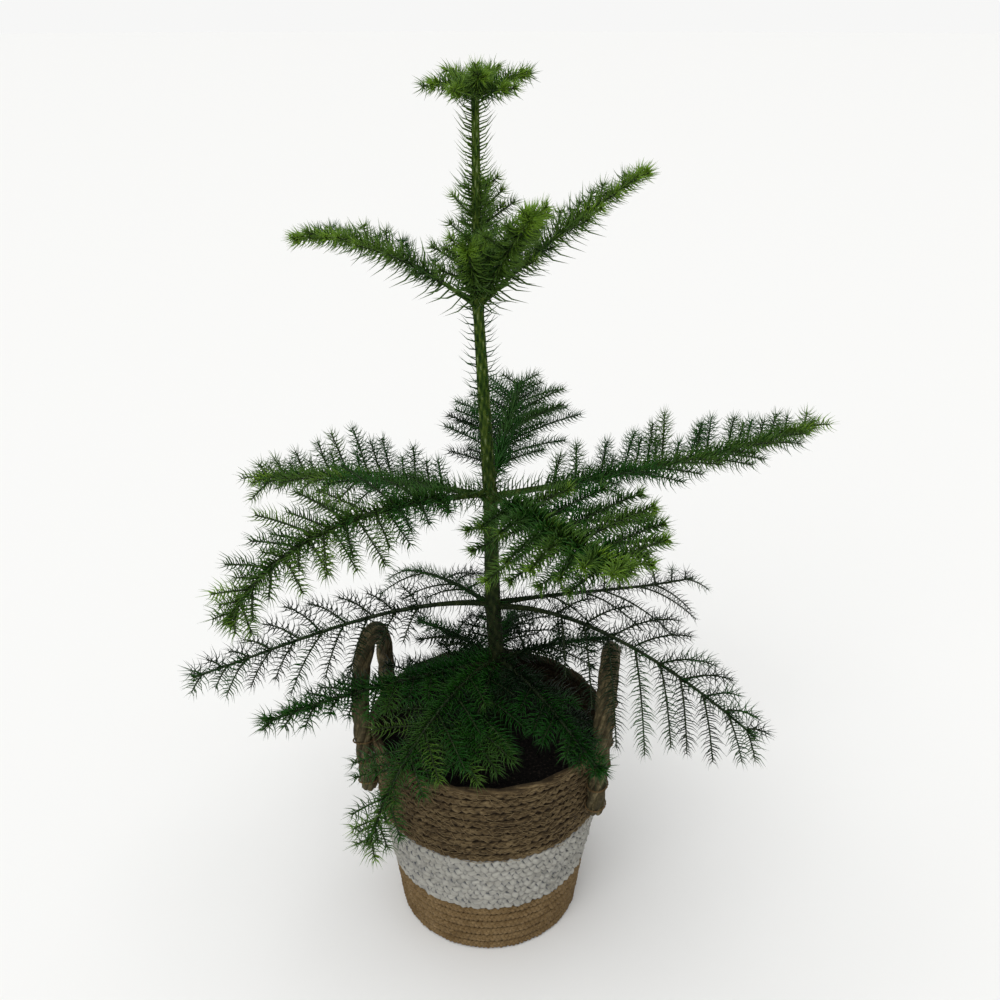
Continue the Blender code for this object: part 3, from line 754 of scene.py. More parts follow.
for name, azimuth in HANDLES:
    path = handle_path(azimuth)
    girth = [*END_TAPER, *[1.0] * (len(path) - 2 * len(END_TAPER)), *END_TAPER[::-1]]
    grow(name + "_rope", guide_paths([{"points": path, "girth": girth}]), rope, "seagrass_rope", name, plies=PLIES,
         pitch=LAY_LENGTH, ply=PLY_SHARE * VISIBLE_RADIUS, spread=(1.0 - PLY_SHARE) * VISIBLE_RADIUS)
    loops = [binding_loop(azimuth + side * HANDLE_HALF_SPREAD, height)
             for side in (-1.0, 1.0) for height in BINDING_HEIGHTS]
    grow(name + "_binding", guide_paths(loops), rope, "seagrass_rope", plies=2, pitch=CORD_LAY,
         ply=CORD_PLY_SHARE * CORD, spread=CORD_SPREAD_SHARE * CORD, paint=golden_weave)

# %% [markdown]
# ## Frayed fibres
#
# Dry seagrass splits, and fine pale hairs stand off the brown rows. Each is a
# thin bent tube. One tree turns any set of guide paths into tubes, with the
# girth read from the path. The twigs of the plant use it again further on.

# %% The tube tree


def tube_tree(material):
    tree = Tree("tubes", sides=5, paint=material)
    curves = tree.add("GeometryNodeMeshToCurve", tree["Geometry"])
    section = tree.circle(tree["sides"], 1.0)
    tree.finish(tree.add("GeometryNodeCurveToMesh", curves, section, tree.named("girth"), True))
    return tree


tubes = tube_tree(Paint("frayed_fibre", (0.225, 0.165, 0.085), 0.9, 0.2).material)

# %% Frayed fibres on the brown band
FIBRES = 1500
FIBRE_LENGTHS = (0.004, 0.012)
FIBRE_GIRTH = 0.00018
FIBRE_SLOPE = 0.45
FIBRE_LIFTS = (0.0003, 0.0018)
FIBRE_ROOT = 0.0006
FIBRE_SHARES = (0.0, 0.35, 0.7, 1.0)
FIBRE_ARC = 0.75 * math.pi
FIBRE_SEED = 19
draw = random.Random(FIBRE_SEED)
strays = []
for number in range(FIBRES):
    turn = draw.uniform(0.0, math.tau)
    height = draw.uniform(WHITE_TOP_HEIGHT, RIM_HEIGHT)
    length = draw.uniform(*FIBRE_LENGTHS)
    slope = draw.gauss(0.0, FIBRE_SLOPE)
    lift = draw.uniform(*FIBRE_LIFTS)
    points = []
    for share in FIBRE_SHARES:
        spot_turn = turn + share * length * math.cos(slope) / RIM_RADIUS
        spot_height = min(RIM_HEIGHT, max(WHITE_TOP_HEIGHT, height + share * length * math.sin(slope)))
        reach = basket_radius(spot_height) - FIBRE_ROOT + lift * math.sin(share * FIBRE_ARC)
        points.append(round_axis(reach, spot_turn, spot_height))
    strays.append({"points": points, "girth": FIBRE_GIRTH})
grow("frayed_fibres", guide_paths(strays), tubes, "brown_seagrass", sides=3)

# %% [markdown]
# ## Soil
#
# Potting soil is a lumpy, nearly black surface with crumbs of peat and bark. The
# lumps are a turned disc moved up and down by noise. A tree then scatters the
# crumbs over its top: round ones of many sizes, half sunk. A flat disc with a
# dark colour would look like a lid.

# %% The soil's finish
soil_paint = Paint("potting_soil", (0.014, 0.011, 0.009), 0.95, 0.15)
soil_paint.give("Base Color", soil_paint.ramp(
    soil_paint.speckle(soil_paint.place(), 420.0, 2.0),
    (0.42, (0.003, 0.0025, 0.002)), (0.60, (0.009, 0.007, 0.006)), (0.74, (0.045, 0.034, 0.025))))
soil_paint.relief(soil_paint.speckle(soil_paint.place(), 900.0, 4.0), 0.0008)

# %% The lumpy ground
SOIL_HEIGHT = 0.172
SOIL_RINGS = 34
SOIL_SIDES = 90
SOIL_LUMP = 0.0022
LUMP_SCALE = 45.0
LUMP_NOISE = (0.8, 2.2, 4)


def soil_shape():
    """A closed disc whose top is lumpy, from the floor of the basket up."""
    shape = bmesh.new()
    reach = basket_radius(SOIL_HEIGHT) - WALL - GAP
    middle = shape.verts.new((0.0, 0.0, SOIL_HEIGHT))
    rings = []
    for ring in range(1, SOIL_RINGS + 1):
        row = []
        for turn in turns(SOIL_SIDES):
            spot = round_axis(reach * ring / SOIL_RINGS, turn, SOIL_HEIGHT)
            spot.z += SOIL_LUMP * noise.fractal(spot * LUMP_SCALE, *LUMP_NOISE) - SOIL_LUMP * 0.5
            row.append(shape.verts.new(spot))
        rings.append(row)
    for height in (WHITE_TOP_HEIGHT, FOOT_TOP_HEIGHT, FLOOR + GAP):
        low = basket_radius(height) - WALL - GAP
        rings.append([shape.verts.new(round_axis(low, turn, height)) for turn in turns(SOIL_SIDES)])
    for side in range(SOIL_SIDES):
        other = (side + 1) % SOIL_SIDES
        shape.faces.new((middle, rings[0][side], rings[0][other]))
        for ring, following in zip(rings, rings[1:]):
            shape.faces.new((ring[side], following[side], following[other], ring[other]))
    shape.faces.new(reversed(rings[-1]))
    return closed_mesh("soil_guide", shape)


# %% The crumbs
CRUMB_SIZES = (0.35, 1.35)
CRUMB_SHAPE = (1.0, 0.75, 0.6)
ANY_TURN = (6.28, 6.28, 6.28)
TOP_FACING = 0.5


def soil_tree(material):
    tree = Tree("crumbs", density=60000.0, crumb=0.0011, seed=4, paint=material)
    facing = tree.add("ShaderNodeSeparateXYZ", tree.add("GeometryNodeInputNormal"))["Z"]
    top = tree.math("GREATER_THAN", facing, TOP_FACING)
    spots = tree.add("GeometryNodeDistributePointsOnFaces", tree["Geometry"], top, tree["density"], tree["seed"])
    size = tree.math("POWER", tree.random(*CRUMB_SIZES, tree["seed"]), 2.0) * tree["crumb"]
    turn = tree.add("FunctionNodeRandomValue", (0, 0, 0), ANY_TURN, None, tree["seed"], data_type="FLOAT_VECTOR")
    crumb = tree.add("GeometryNodeMeshIcoSphere", 1.0, 1)
    stretch = tree.point(*CRUMB_SHAPE) * size
    crumbs = tree.add("GeometryNodeInstanceOnPoints", spots, None, crumb, None, None, turn, stretch)
    both = tree.add("GeometryNodeJoinGeometry", tree["Geometry"])
    tree.join(crumbs, both.socket.node.inputs[0])
    tree.finish(both)
    return tree


grow("soil_crumbs", soil_shape(), soil_tree(soil_paint.material), "soil", "soil")

# %% [markdown]
# ## The plant's rule
#
# A Norfolk Island pine grows by a strict rule: whorls of boughs at steps up the
# trunk, flat rows of side twigs on each bough, and needles in a spiral round
# every shoot. The numbers below are the ones that the CAD source uses, so that
# each shoot grows where the solid is. A bough is a cubic curve between two
# slopes. The side twigs are drawn from a seeded random source in the same order.

# %% Sizes of the plant, the same as in the CAD source
# Each station of the trunk has a height, a place along X and a radius.
TRUNK_TOP = 0.724
TRUNK_STATIONS = (
    (SOIL_HEIGHT, 0.0098, 0.0120), (0.180, 0.0097, 0.0092), (0.200, 0.0092, 0.0078),
    (0.256, 0.0076, 0.0070), (0.311, 0.0043, 0.0065), (0.414, 0.0022, 0.0056),
    (0.569, -0.0060, 0.0040), (0.715, -0.0067, 0.0026), (0.737, -0.0060, 0.0020),
)
Bough = namedtuple("Bough", "azimuth reach tip_height start_slope tip_slope roll lift twig")
Whorl = namedtuple("Whorl", "name height boughs bare spacing droop limb_radius seed")
WHORLS = (
    Whorl("top", 0.715, (
        Bough(10, 0.037, 0.727, 30, 5, 0, 2, 0.011),
        Bough(66, 0.028, 0.729, 35, 20, 0, 2, 0.011),
        Bough(122, 0.032, 0.728, 35, 15, 0, 2, 0.011),
        Bough(188, 0.034, 0.720, 25, -15, 0, 2, 0.011),
        Bough(236, 0.026, 0.718, 15, 0, 0, 2, 0.011),
        Bough(279, 0.024, 0.729, 40, 30, 0, 2, 0.011),
        Bough(322, 0.030, 0.719, 15, 0, 0, 2, 0.011),
    ), 0.0, 0.014, 0.0, 0.0012, 11),
    Whorl("upper", 0.569, (
        Bough(15, 0.132, 0.661, 42, 28, 0, 6, 0.034),
        Bough(85, 0.070, 0.650, 55, 45, 0, 6, 0.036),
        Bough(165, 0.146, 0.609, 34, -14, 0, 8, 0.036),
        Bough(263, 0.050, 0.622, 52, 40, 0, 6, 0.036),
        Bough(300, 0.079, 0.647, 50, 35, 0, 6, 0.038),
    ), 0.20, 0.018, -0.10, 0.0020, 23),
    Whorl("middle", 0.414, (
        Bough(18, 0.300, 0.440, 2, 12, 0, 15, 0.070),
        Bough(83, 0.215, 0.437, 8, 12, 0, 12, 0.076),
        Bough(163, 0.212, 0.401, 4, -14, -4, 18, 0.066),
        Bough(226, 0.247, 0.400, 14, -55, -14, 10, 0.054),
        Bough(304, 0.171, 0.423, 10, 14, 0, 12, 0.076),
    ), 0.16, 0.020, 0.04, 0.0030, 37),
    Whorl("lower", 0.311, (
        Bough(342, 0.229, 0.225, 14, -38, 17, 3, 0.078),
        Bough(35, 0.243, 0.259, -10, -8, 10, 4, 0.070),
        Bough(120, 0.183, 0.256, -6, -26, 0, 5, 0.058),
        Bough(188, 0.257, 0.261, 10, -16, -22, 8, 0.052),
    ), 0.20, 0.022, 0.28, 0.0030, 41),
    Whorl("bottom", 0.256, (
        Bough(34, 0.128, 0.232, 4, -16, 0, 10, 0.052),
        Bough(82, 0.112, 0.236, 4, -14, 0, 10, 0.052),
        Bough(128, 0.126, 0.234, 4, -16, 0, 10, 0.052),
        Bough(168, 0.080, 0.230, 4, -12, 0, 8, 0.038),
        Bough(205, 0.206, 0.254, 6, -8, 0, 0, 0.040),
        Bough(231, 0.163, 0.161, 8, -68, 0, 4, 0.054),
        Bough(254, 0.100, 0.218, 4, -20, 0, 8, 0.056),
        Bough(308, 0.138, 0.219, 4, -24, 0, -2, 0.034),
    ), 0.16, 0.017, 0.10, 0.0024, 53),
)
STAGGER = 0.0016
TANGENT_STEP = 0.01
STEM_TIP_SHARE = 0.45
UP = Vector((0.0, 0.0, 1.0))


def trunk_at(height):
    """Centre and radius of the trunk at a height."""
    lean, radius = lookup(TRUNK_STATIONS, height)
    return Vector((lean, 0.0, height)), radius


print("boughs:", sum(len(whorl.boughs) for whorl in WHORLS))

# %% The path of a bough


class Limb:
    """The path of one bough, from the trunk's axis to the bough's tip."""

    def __init__(self, whorl, bough, index):
        self.whorl, self.bough = whorl, bough
        self.outward = round_axis(1.0, math.radians(bough.azimuth))
        self.foot, self.trunk_radius = trunk_at(whorl.height + (STAGGER if index % 2 else -STAGGER))
        rise = bough.tip_height - self.foot.z
        self.length = math.hypot(bough.reach, rise)
        slopes = math.radians(bough.start_slope), math.radians(bough.tip_slope)
        self.tip = Vector((bough.reach, rise))
        self.pulls = [Vector((math.cos(slope), math.sin(slope))) * self.length for slope in slopes]

    def at(self, share):
        squared = share * share
        cubed = squared * share
        flat = (self.pulls[0] * (cubed - 2 * squared + share) + self.tip * (3 * squared - 2 * cubed)
                + self.pulls[1] * (cubed - squared))
        return self.foot + self.outward * flat.x + UP * flat.y

    def frame(self, share):
        """Direction, sideways and upward axes, with the spray's roll."""
        ahead = self.at(min(share + TANGENT_STEP, 1.0))
        behind = self.at(max(share - TANGENT_STEP, 0.0))
        along = (ahead - behind).normalized()
        across = UP.cross(along).normalized()
        across = Matrix.Rotation(math.radians(self.bough.roll), 3, along) @ across
        return along, across, along.cross(across).normalized()

    def radius(self, share):
        return mix(self.whorl.limb_radius, STEM_TIP_SHARE * self.whorl.limb_radius, share)


# %% The rule for side twigs, the same as in the CAD source
TWIG_ANGLE_INNER = 66
TWIG_ANGLE_OUTER = 46
ANGLE_SPREAD = 5
LIFT_SPREAD = 8
LENGTH_SPREAD = 0.14
PLACE_SPREAD = 0.16
FIRST_PAIR = 0.45
LAST_PLACE = 0.97
INNER_LENGTH_SHARE = 0.62
LENGTH_RISE = 1.4
FADE_START = 0.45
FADE_AMOUNT = 0.70
Twig = namedtuple("Twig", "start course up length place side")


def twig_length(limb, share):
    rising = min(1.0, INNER_LENGTH_SHARE + LENGTH_RISE * share)
    fading = 1.0 - FADE_AMOUNT * max(0.0, share - FADE_START) / (1.0 - FADE_START)
    return limb.bough.twig * rising * fading


def twig_at(limb, share, place, side, draw):
    """One side twig: its angle, lift and length are each a little random."""
    angle = mix(TWIG_ANGLE_INNER, TWIG_ANGLE_OUTER, place)
    angle = math.radians(angle + draw.uniform(-ANGLE_SPREAD, ANGLE_SPREAD))
    lift = math.radians(limb.bough.lift + draw.uniform(-LIFT_SPREAD, LIFT_SPREAD))
    length = twig_length(limb, place) * (1.0 + draw.uniform(-LENGTH_SPREAD, LENGTH_SPREAD))
    along, across, up = limb.frame(share)
    course = along * math.cos(angle) + across * side * math.sin(angle)
    course = (course * math.cos(lift) + up * math.sin(lift)).normalized()
    return Twig(limb.at(share), course, up, length, place, side)


def pairs_on(limb, first):
    return max(2, round(limb.length * (1.0 - first) / limb.whorl.spacing))


def twig_rule(limb, first, seed):
    """The pairs of side twigs along a limb, in the order of the CAD source."""
    draw = random.Random(seed)
    pairs = pairs_on(limb, first)
    for index in range(pairs):
        place = (index + FIRST_PAIR) / pairs
        for side in (-1.0, 1.0):
            spread = draw.uniform(-PLACE_SPREAD, PLACE_SPREAD) / pairs
            share = mix(first, 1.0, min(LAST_PLACE, place + spread))
            yield twig_at(limb, share, place, side, draw)


# %% [markdown]
# ## Finer twigs, and where they may not go
#
# The solids carry one blade for each side twig. The living shoot has more: here
# and there, and often in the young tiers, a shorter twig stands between two. A
# twig that would run into the basket, a handle or the soil is shortened, and left
# out if that doesn't help, as the solids' blades are. On four boughs of the middle
# tier the twigs between hang on the near side, some nearly as long as the others,
# so one looks through their comb. On the young one in front they also rise on the
# far side, so its fan is open.

# %% Finer twigs
BETWEEN_SEED = 7
BETWEEN_PLACE = (0.42, 0.58)
BETWEEN_LAST = 0.98
BETWEEN_LENGTH = (0.45, 0.85)
BETWEEN_CHANCE = {"top": 1.0, "upper": 0.6, "middle": 0.5, "lower": 0.0, "bottom": 0.7}
BETWEEN_ON_BOUGH = {
    ("middle", 18): 0.6, ("middle", 83): 0.9, ("middle", 163): 1.0, ("middle", 226): 0.9, ("middle", 304): 1.0,
    ("bottom", 34): 0.2, ("bottom", 82): 0.2, ("bottom", 128): 0.2, ("bottom", 205): 0.2,
    ("bottom", 231): 0.3, ("bottom", 254): 0.4, ("bottom", 308): 0.3,
}
NEAR_SIDE = -0.4
Hang = namedtuple("Hang", "down back up length until")
BETWEEN_HANG = {
    ("middle", 18): Hang(0.45, 0.00, 0.00, (0.75, 0.95), 0.50),
    ("middle", 163): Hang(0.75, 0.00, 0.00, BETWEEN_LENGTH, 1.00),
    ("middle", 226): Hang(0.30, 0.35, 0.00, (0.65, 0.95), 1.00),
    ("middle", 304): Hang(0.35, 0.55, 0.40, (0.85, 1.10), 1.00),
}
KEPT_AT_TIP = {
    ("lower", 35): 0.70, ("lower", 120): 0.60, ("bottom", 34): 0.45, ("bottom", 82): 0.30,
    ("bottom", 128): 0.35, ("bottom", 231): 0.90,
}


def bough_key(limb):
    return limb.whorl.name, limb.bough.azimuth


def finer_rule(limb, first, seed):
    """The source's twigs, some followed by a shorter one and some left out."""
    draw = random.Random(seed + BETWEEN_SEED)
    key = bough_key(limb)
    chance = BETWEEN_ON_BOUGH.get(key, BETWEEN_CHANCE[limb.whorl.name])
    hang = BETWEEN_HANG.get(key)
    for twig in twig_rule(limb, first, seed):
        thinning = min(1.0, 2.0 * twig.place) * (1.0 - KEPT_AT_TIP.get(key, 1.0))
        if draw.random() < 1.0 - thinning:
            yield twig
        share = mix(first, 1.0, twig.place + draw.uniform(*BETWEEN_PLACE) / pairs_on(limb, first))
        between = twig_at(limb, min(share, 1.0), twig.place, twig.side, draw)
        lengths = BETWEEN_LENGTH
        if hang and share < hang.until:
            near = between.course.y < NEAR_SIDE
            turn = -UP * hang.down - limb.frame(min(share, 1.0))[0] * hang.back if near else UP * hang.up
            between = between._replace(course=(between.course + turn).normalized())
            if near or hang.up:
                lengths = hang.length
        between = between._replace(length=between.length * draw.uniform(*lengths))
        if share < BETWEEN_LAST and draw.random() < chance:
            yield between


# %% Twigs that keep clear
TWIG_STEP = 0.004
TWIG_CLEARANCE = 0.0030
NEEDLE_TIP_ROOM = 0.0045
TWIG_BEND = 0.10
HARD_NODES = ("basket_foot_band", "basket_white_band", "basket_top_band", "soil",
              "handle_right", "handle_left")


def tree_of(node):
    shape = bmesh.new()
    shape.from_mesh(frame["nodes"][node].data)
    found = BVHTree.FromBMesh(shape)
    shape.free()
    return found


hard_trees = [tree_of(node) for node in HARD_NODES]


def is_clear(points):
    """Whether a twig's path keeps clear of basket, handles and soil."""
    return all(tree.find_nearest(point)[3] > TWIG_CLEARANCE for tree in hard_trees for point in points)


def twig_path(twig, droop):
    """Points along a side twig: it hangs by its droop and curls a little."""
    length = twig.length - NEEDLE_TIP_ROOM
    count = max(3, math.ceil(length / TWIG_STEP) + 1)
    points = []
    for index in range(count):
        share = index / (count - 1)
        spot = twig.start + twig.course * (share * length)
        spot = spot + twig.up * (TWIG_BEND * length * share * (1.0 - share))
        spot.z -= droop * length * share * share
        points.append(spot)
    return points


# %% Girths and tones of the shoots
# A tone is a place in the list of greens, from deep shade to sunlit.
SHORTEST_BARE = 0.01
STEM_GIRTH = {"top": 1.0, "upper": 0.9, "middle": 0.85, "lower": 0.68, "bottom": 0.9}
TWIG_GIRTHS = (0.00090, 0.00050)
# Painted shade and light: the lower tiers get darker greens, for the shade of the upper tiers, and the top tiers
# lighter ones, fresh growth and painted light. Some boughs get their own tone, darker in deeper painted shade or
# lighter in more painted light.
TONES = {"top": 5, "upper": 5, "middle": 4, "lower": 1, "bottom": 2}
TONE_ON_BOUGH = {
    ("middle", 83): 3, ("lower", 35): 0, ("lower", 120): 2, ("bottom", 34): 1, ("bottom", 82): 1,
    ("bottom", 128): 1, ("bottom", 231): 3, ("bottom", 308): 1,
}
TONE_DRAW = (-1, -1, 0, 0, 1)
TONE_SEED = 1000
TWIG_SEED = 100
TONE_LAST = 6
SHADED_SIDE = 0.35
DARKER_INNER_PLACE = 0.30
LIGHTER_OUTER_PLACE = 0.80


def green(tone):
    return float(max(0, min(TONE_LAST, tone)))


def limb_tone(limb):
    return TONE_ON_BOUGH.get(bough_key(limb), TONES[limb.whorl.name])


# %% Paths for every shoot of a whorl
LIMB_STEP = 0.003
TIP_ROOM = 0.004
FOOT_DEPTH = 0.6
FIRST_TWIG = 1.6
SHORTEST_TWIG = 0.010
RETRY_SHARES = (1.0, 0.7, 0.45)
Shoots = namedtuple("Shoots", "bare stems twigs")


def limb_path(limb, first, last):
    """Points, girths and tone along a limb between two shares of its length.

    A bough is as thick as its solid at the trunk and slimmer from its first twig.
    """
    count = max(2, math.ceil(limb.length * (last - first) / LIMB_STEP) + 1)
    shares = [first + (last - first) * index / (count - 1) for index in range(count)]
    girths = []
    for share in shares:
        slimming = min(1.0, share / max(limb.whorl.bare, SHORTEST_BARE)) * (1.0 - STEM_GIRTH[limb.whorl.name])
        girths.append(limb.radius(share) * (1.0 - slimming))
    return {"points": [limb.at(share) for share in shares], "girth": girths, "tone": green(limb_tone(limb))}


def twig_shoots(limb, number, first):
    """The side twigs of one limb, each with its girth and its tone of green."""
    whorl = limb.whorl
    draw = random.Random(whorl.seed * TONE_SEED + number)
    for twig in finer_rule(limb, first, whorl.seed * TWIG_SEED + number):
        for share in RETRY_SHARES:
            points = twig_path(twig._replace(length=max(twig.length * share, SHORTEST_TWIG)), whorl.droop)
            if is_clear(points[1:]):
                break
        else:
            continue
        last = len(points) - 1
        # A twig on the far side is a tone darker, painted shade. Twigs near the trunk are a tone darker, older and in
        # painted shade, and those near the bough's tip a tone lighter, fresh and in painted light.
        tone = limb_tone(limb) + draw.choice(TONE_DRAW) - (twig.course.y > SHADED_SIDE)
        tone += (twig.place > LIGHTER_OUTER_PLACE) - (twig.place < DARKER_INNER_PLACE)
        yield {"points": points, "girth": [mix(*TWIG_GIRTHS, index / last) for index in range(last + 1)],
               "tone": green(tone)}


def whorl_shoots(whorl):
    """Guide paths for a whorl: bare boughs, leafy stems and side twigs."""
    shoots = Shoots([], [], [])
    for number, bough in enumerate(whorl.boughs, 1):
        limb = Limb(whorl, bough, number - 1)
        inside = FOOT_DEPTH * limb.trunk_radius / limb.length
        if whorl.bare:
            shoots.bare.append(limb_path(limb, inside, whorl.bare))
        shoots.stems.append(limb_path(limb, max(whorl.bare, inside), 1.0 - TIP_ROOM / limb.length))
        first = max(whorl.bare, FIRST_TWIG * limb.trunk_radius / limb.length)
        shoots.twigs.append(list(twig_shoots(limb, number, first)))
    print(whorl.name, "whorl, side twigs on each bough:", [len(twigs) for twigs in shoots.twigs])
    return shoots


plant = {whorl.name: whorl_shoots(whorl) for whorl in WHORLS}

# %% [markdown]
# ## Trunk and boughs
#
# A young trunk is green and is covered with the bases of its needles: small
# cushions, one for each needle, in two sets of spirals that cross. Five spirals
# wind one way and eight the other, as on a pine cone. The relief is the sum of
# those two waves, so the cushions fall where the needles would. It is real
# relief, because the trunk's outline shows it.

# %% The bark's finish
CUSHION_SHARE = 0.25
DARKER_BARK_HEIGHT = 0.30
LIGHTER_BARK_HEIGHT = 0.52
bark = Paint("young_bark", (0.024, 0.046, 0.006), 0.75, 0.12)
mottle = bark.speckle(bark.stretched(bark.place(), (1.0, 1.0, 0.35)), 260.0, 4.0)
bark_tone = bark.attribute("cushion") * CUSHION_SHARE + mottle * (1.0 - CUSHION_SHARE)
# The bark is darker and greyer towards the bottom of the trunk: below the lower height it takes the darker ramp, above
# the upper one the lighter ramp, blended between.
bark_height_share = bark.spread(bark.add("ShaderNodeSeparateXYZ", bark.place())["Z"], DARKER_BARK_HEIGHT, LIGHTER_BARK_HEIGHT)
young = bark.ramp(bark_tone, (0.36, (0.008, 0.024, 0.002)), (0.48, (0.026, 0.058, 0.005)),
                  (0.60, (0.070, 0.110, 0.012)), (0.68, (0.180, 0.230, 0.100)))
old = bark.ramp(bark_tone, (0.34, (0.004, 0.007, 0.002)), (0.50, (0.009, 0.015, 0.004)),
                (0.68, (0.024, 0.030, 0.009)))
bark.give("Base Color", bark.blend(bark_height_share, old, young))
bark.relief(bark.speckle(bark.place(), 700.0), 0.0004)

# %% The bark mesh
# Each set of spirals has its count and the slant that the golden angle gives it.
CUSHION_RISE = 0.0011
CUSHION = 0.035
TRUNK_SIDES = 30
BOUGH_SIDES = 14
BARK_STEP = 0.0012
GOLDEN_SHARE = 0.381966
SPIRALS = ((5, 5 * GOLDEN_SHARE - 2), (8, 8 * GOLDEN_SHARE - 3))


def bark_piece(name, paths, sides, *nodes):
    """Tubes with crossing spirals of cushions, as one piece."""
    points, faces, cushions = [], [], []
    for path in paths:
        walked = 0.0
        before = path["points"][0]
        first, last = len(points), len(path["points"]) - 1
        for index, (spot, girth) in enumerate(zip(path["points"], path["girth"])):
            walked += (spot - before).length
            along = (path["points"][min(index + 1, last)] - path["points"][max(index - 1, 0)]).normalized()
            across = along.orthogonal() if index == 0 else (across - along * across.dot(along))
            across.normalize()
            up = along.cross(across)
            for side in range(sides):
                turn = math.tau * side / sides
                wave = sum(math.cos(count * turn - math.tau * slant * walked / CUSHION_RISE)
                           for count, slant in SPIRALS) / len(SPIRALS)
                cushions.append(0.5 + 0.5 * wave)
                outward = across * math.cos(turn) + up * math.sin(turn)
                points.append(spot + outward * girth * (1.0 + CUSHION * wave))
            before = spot
        for low in range(first, first + last * sides, sides):
            for side in range(sides):
                other = (side + 1) % sides
                faces.append((low + side, low + other, low + sides + other, low + sides + side))
        faces.append(tuple(first + side for side in reversed(range(sides))))
        faces.append(tuple(first + last * sides + side for side in range(sides)))
    mesh = bpy.data.meshes.new(name)
    mesh.from_pydata([tuple(point) for point in points], [], faces)
    mesh.attributes.new("cushion", "FLOAT", "POINT").data.foreach_set("value", cushions)
    mesh.shade_smooth()
    mesh.materials.append(bark.material)
    hand_over(name, mesh, "bark", *nodes)


# %% The trunk
WHORL_SWELL = 0.0007
WHORL_SPAN = 0.005
STEPS_IN_SOIL = 2
trunk_path = {"points": [], "girth": []}
steps = math.ceil((TRUNK_TOP - SOIL_HEIGHT) / BARK_STEP)
for step in range(-STEPS_IN_SOIL, steps + 1):
    height = mix(SOIL_HEIGHT, TRUNK_TOP, step / steps)
    centre, radius = trunk_at(max(height, SOIL_HEIGHT))
    centre.z = height
    for whorl in WHORLS:
        radius += WHORL_SWELL * math.exp(-((height - whorl.height) / WHORL_SPAN) ** 2)
    trunk_path["points"].append(centre)
    trunk_path["girth"].append(radius)
bark_piece("trunk_bark", [trunk_path], TRUNK_SIDES, "trunk")

# %% The boughs
for whorl in WHORLS:
    if whorl.bare:
        nodes = [f"{whorl.name}_bough_{number}" for number in range(1, len(whorl.boughs) + 1)]
        bark_piece(f"{whorl.name}_boughs", plant[whorl.name].bare, BOUGH_SIDES, *nodes)

# %% Leafy stems and side twigs
twig_paint = Paint("twig_bark", (0.014, 0.026, 0.007), 0.6, 0.2)
twig_tone = twig_paint.speckle(twig_paint.place(), 300.0)
twig_paint.give("Base Color", twig_paint.ramp(twig_tone, (0.35, (0.007, 0.012, 0.004)), (0.65, (0.024, 0.040, 0.011))))
for whorl in WHORLS:
    shoots = plant[whorl.name]
    grow(f"{whorl.name}_twigs", guide_paths(shoots.stems + sum(shoots.twigs, [])), tubes, "foliage", sides=6,
         paint=twig_paint.material)

# %% [markdown]
# ## Needles
#
# A young needle is a soft curved awl about a centimetre long. Needles sit in a
# spiral, each turned from the last by the golden angle, and curve towards the
# tip of their shoot. One tree grows them all: it walks along each guide path in
# even steps, turns a bent three-sided spike round the shoot and scales it.
# A few faces make one needle, because there are tens of thousands of them.
# The greens are plain colours, dealt out shoot by shoot: the darker ones are painted shade, on the lower tiers, the
# far side and the older inner needles, and the lighter ones are fresh growth and painted light, on the top tiers and
# the tips.

# %% The needle tree
GOLDEN_ANGLE = math.pi * (3.0 - math.sqrt(5.0))
NEEDLE_FACES = 3
NEEDLE_OUT = 0.97
NEEDLE_CURVE = 0.34
NEEDLE_BELLY = 2.4
NEEDLE_SEAT = 0.8
TURN_JITTER = 0.35
SIZE_JITTER = (0.85, 1.12)
BEND_JITTER = (0.70, 1.30)
SHORTER_AHEAD = -0.50
LONGER_AHEAD = 2.6


def spike_shape(tree):
    """One needle of length 1: a three-sided cone laid along X and bent to Z."""
    cone = tree.add("GeometryNodeMeshCone", NEEDLE_FACES, 2, 1, 0.0, 1.0, 1.0)
    spot = tree.add("ShaderNodeSeparateXYZ", tree.add("GeometryNodeInputPosition"))
    reach = spot["Z"]
    width = tree["width"] / tree["length"] * (reach * (1.0 - reach) * NEEDLE_BELLY + 1.0)
    curve = tree.math("POWER", reach, 2.0) * NEEDLE_CURVE
    bent = tree.point(reach * NEEDLE_OUT, spot["Y"] * width, spot["X"] * width + curve)
    return tree.add("GeometryNodeSetPosition", cone["Mesh"], None, bent)


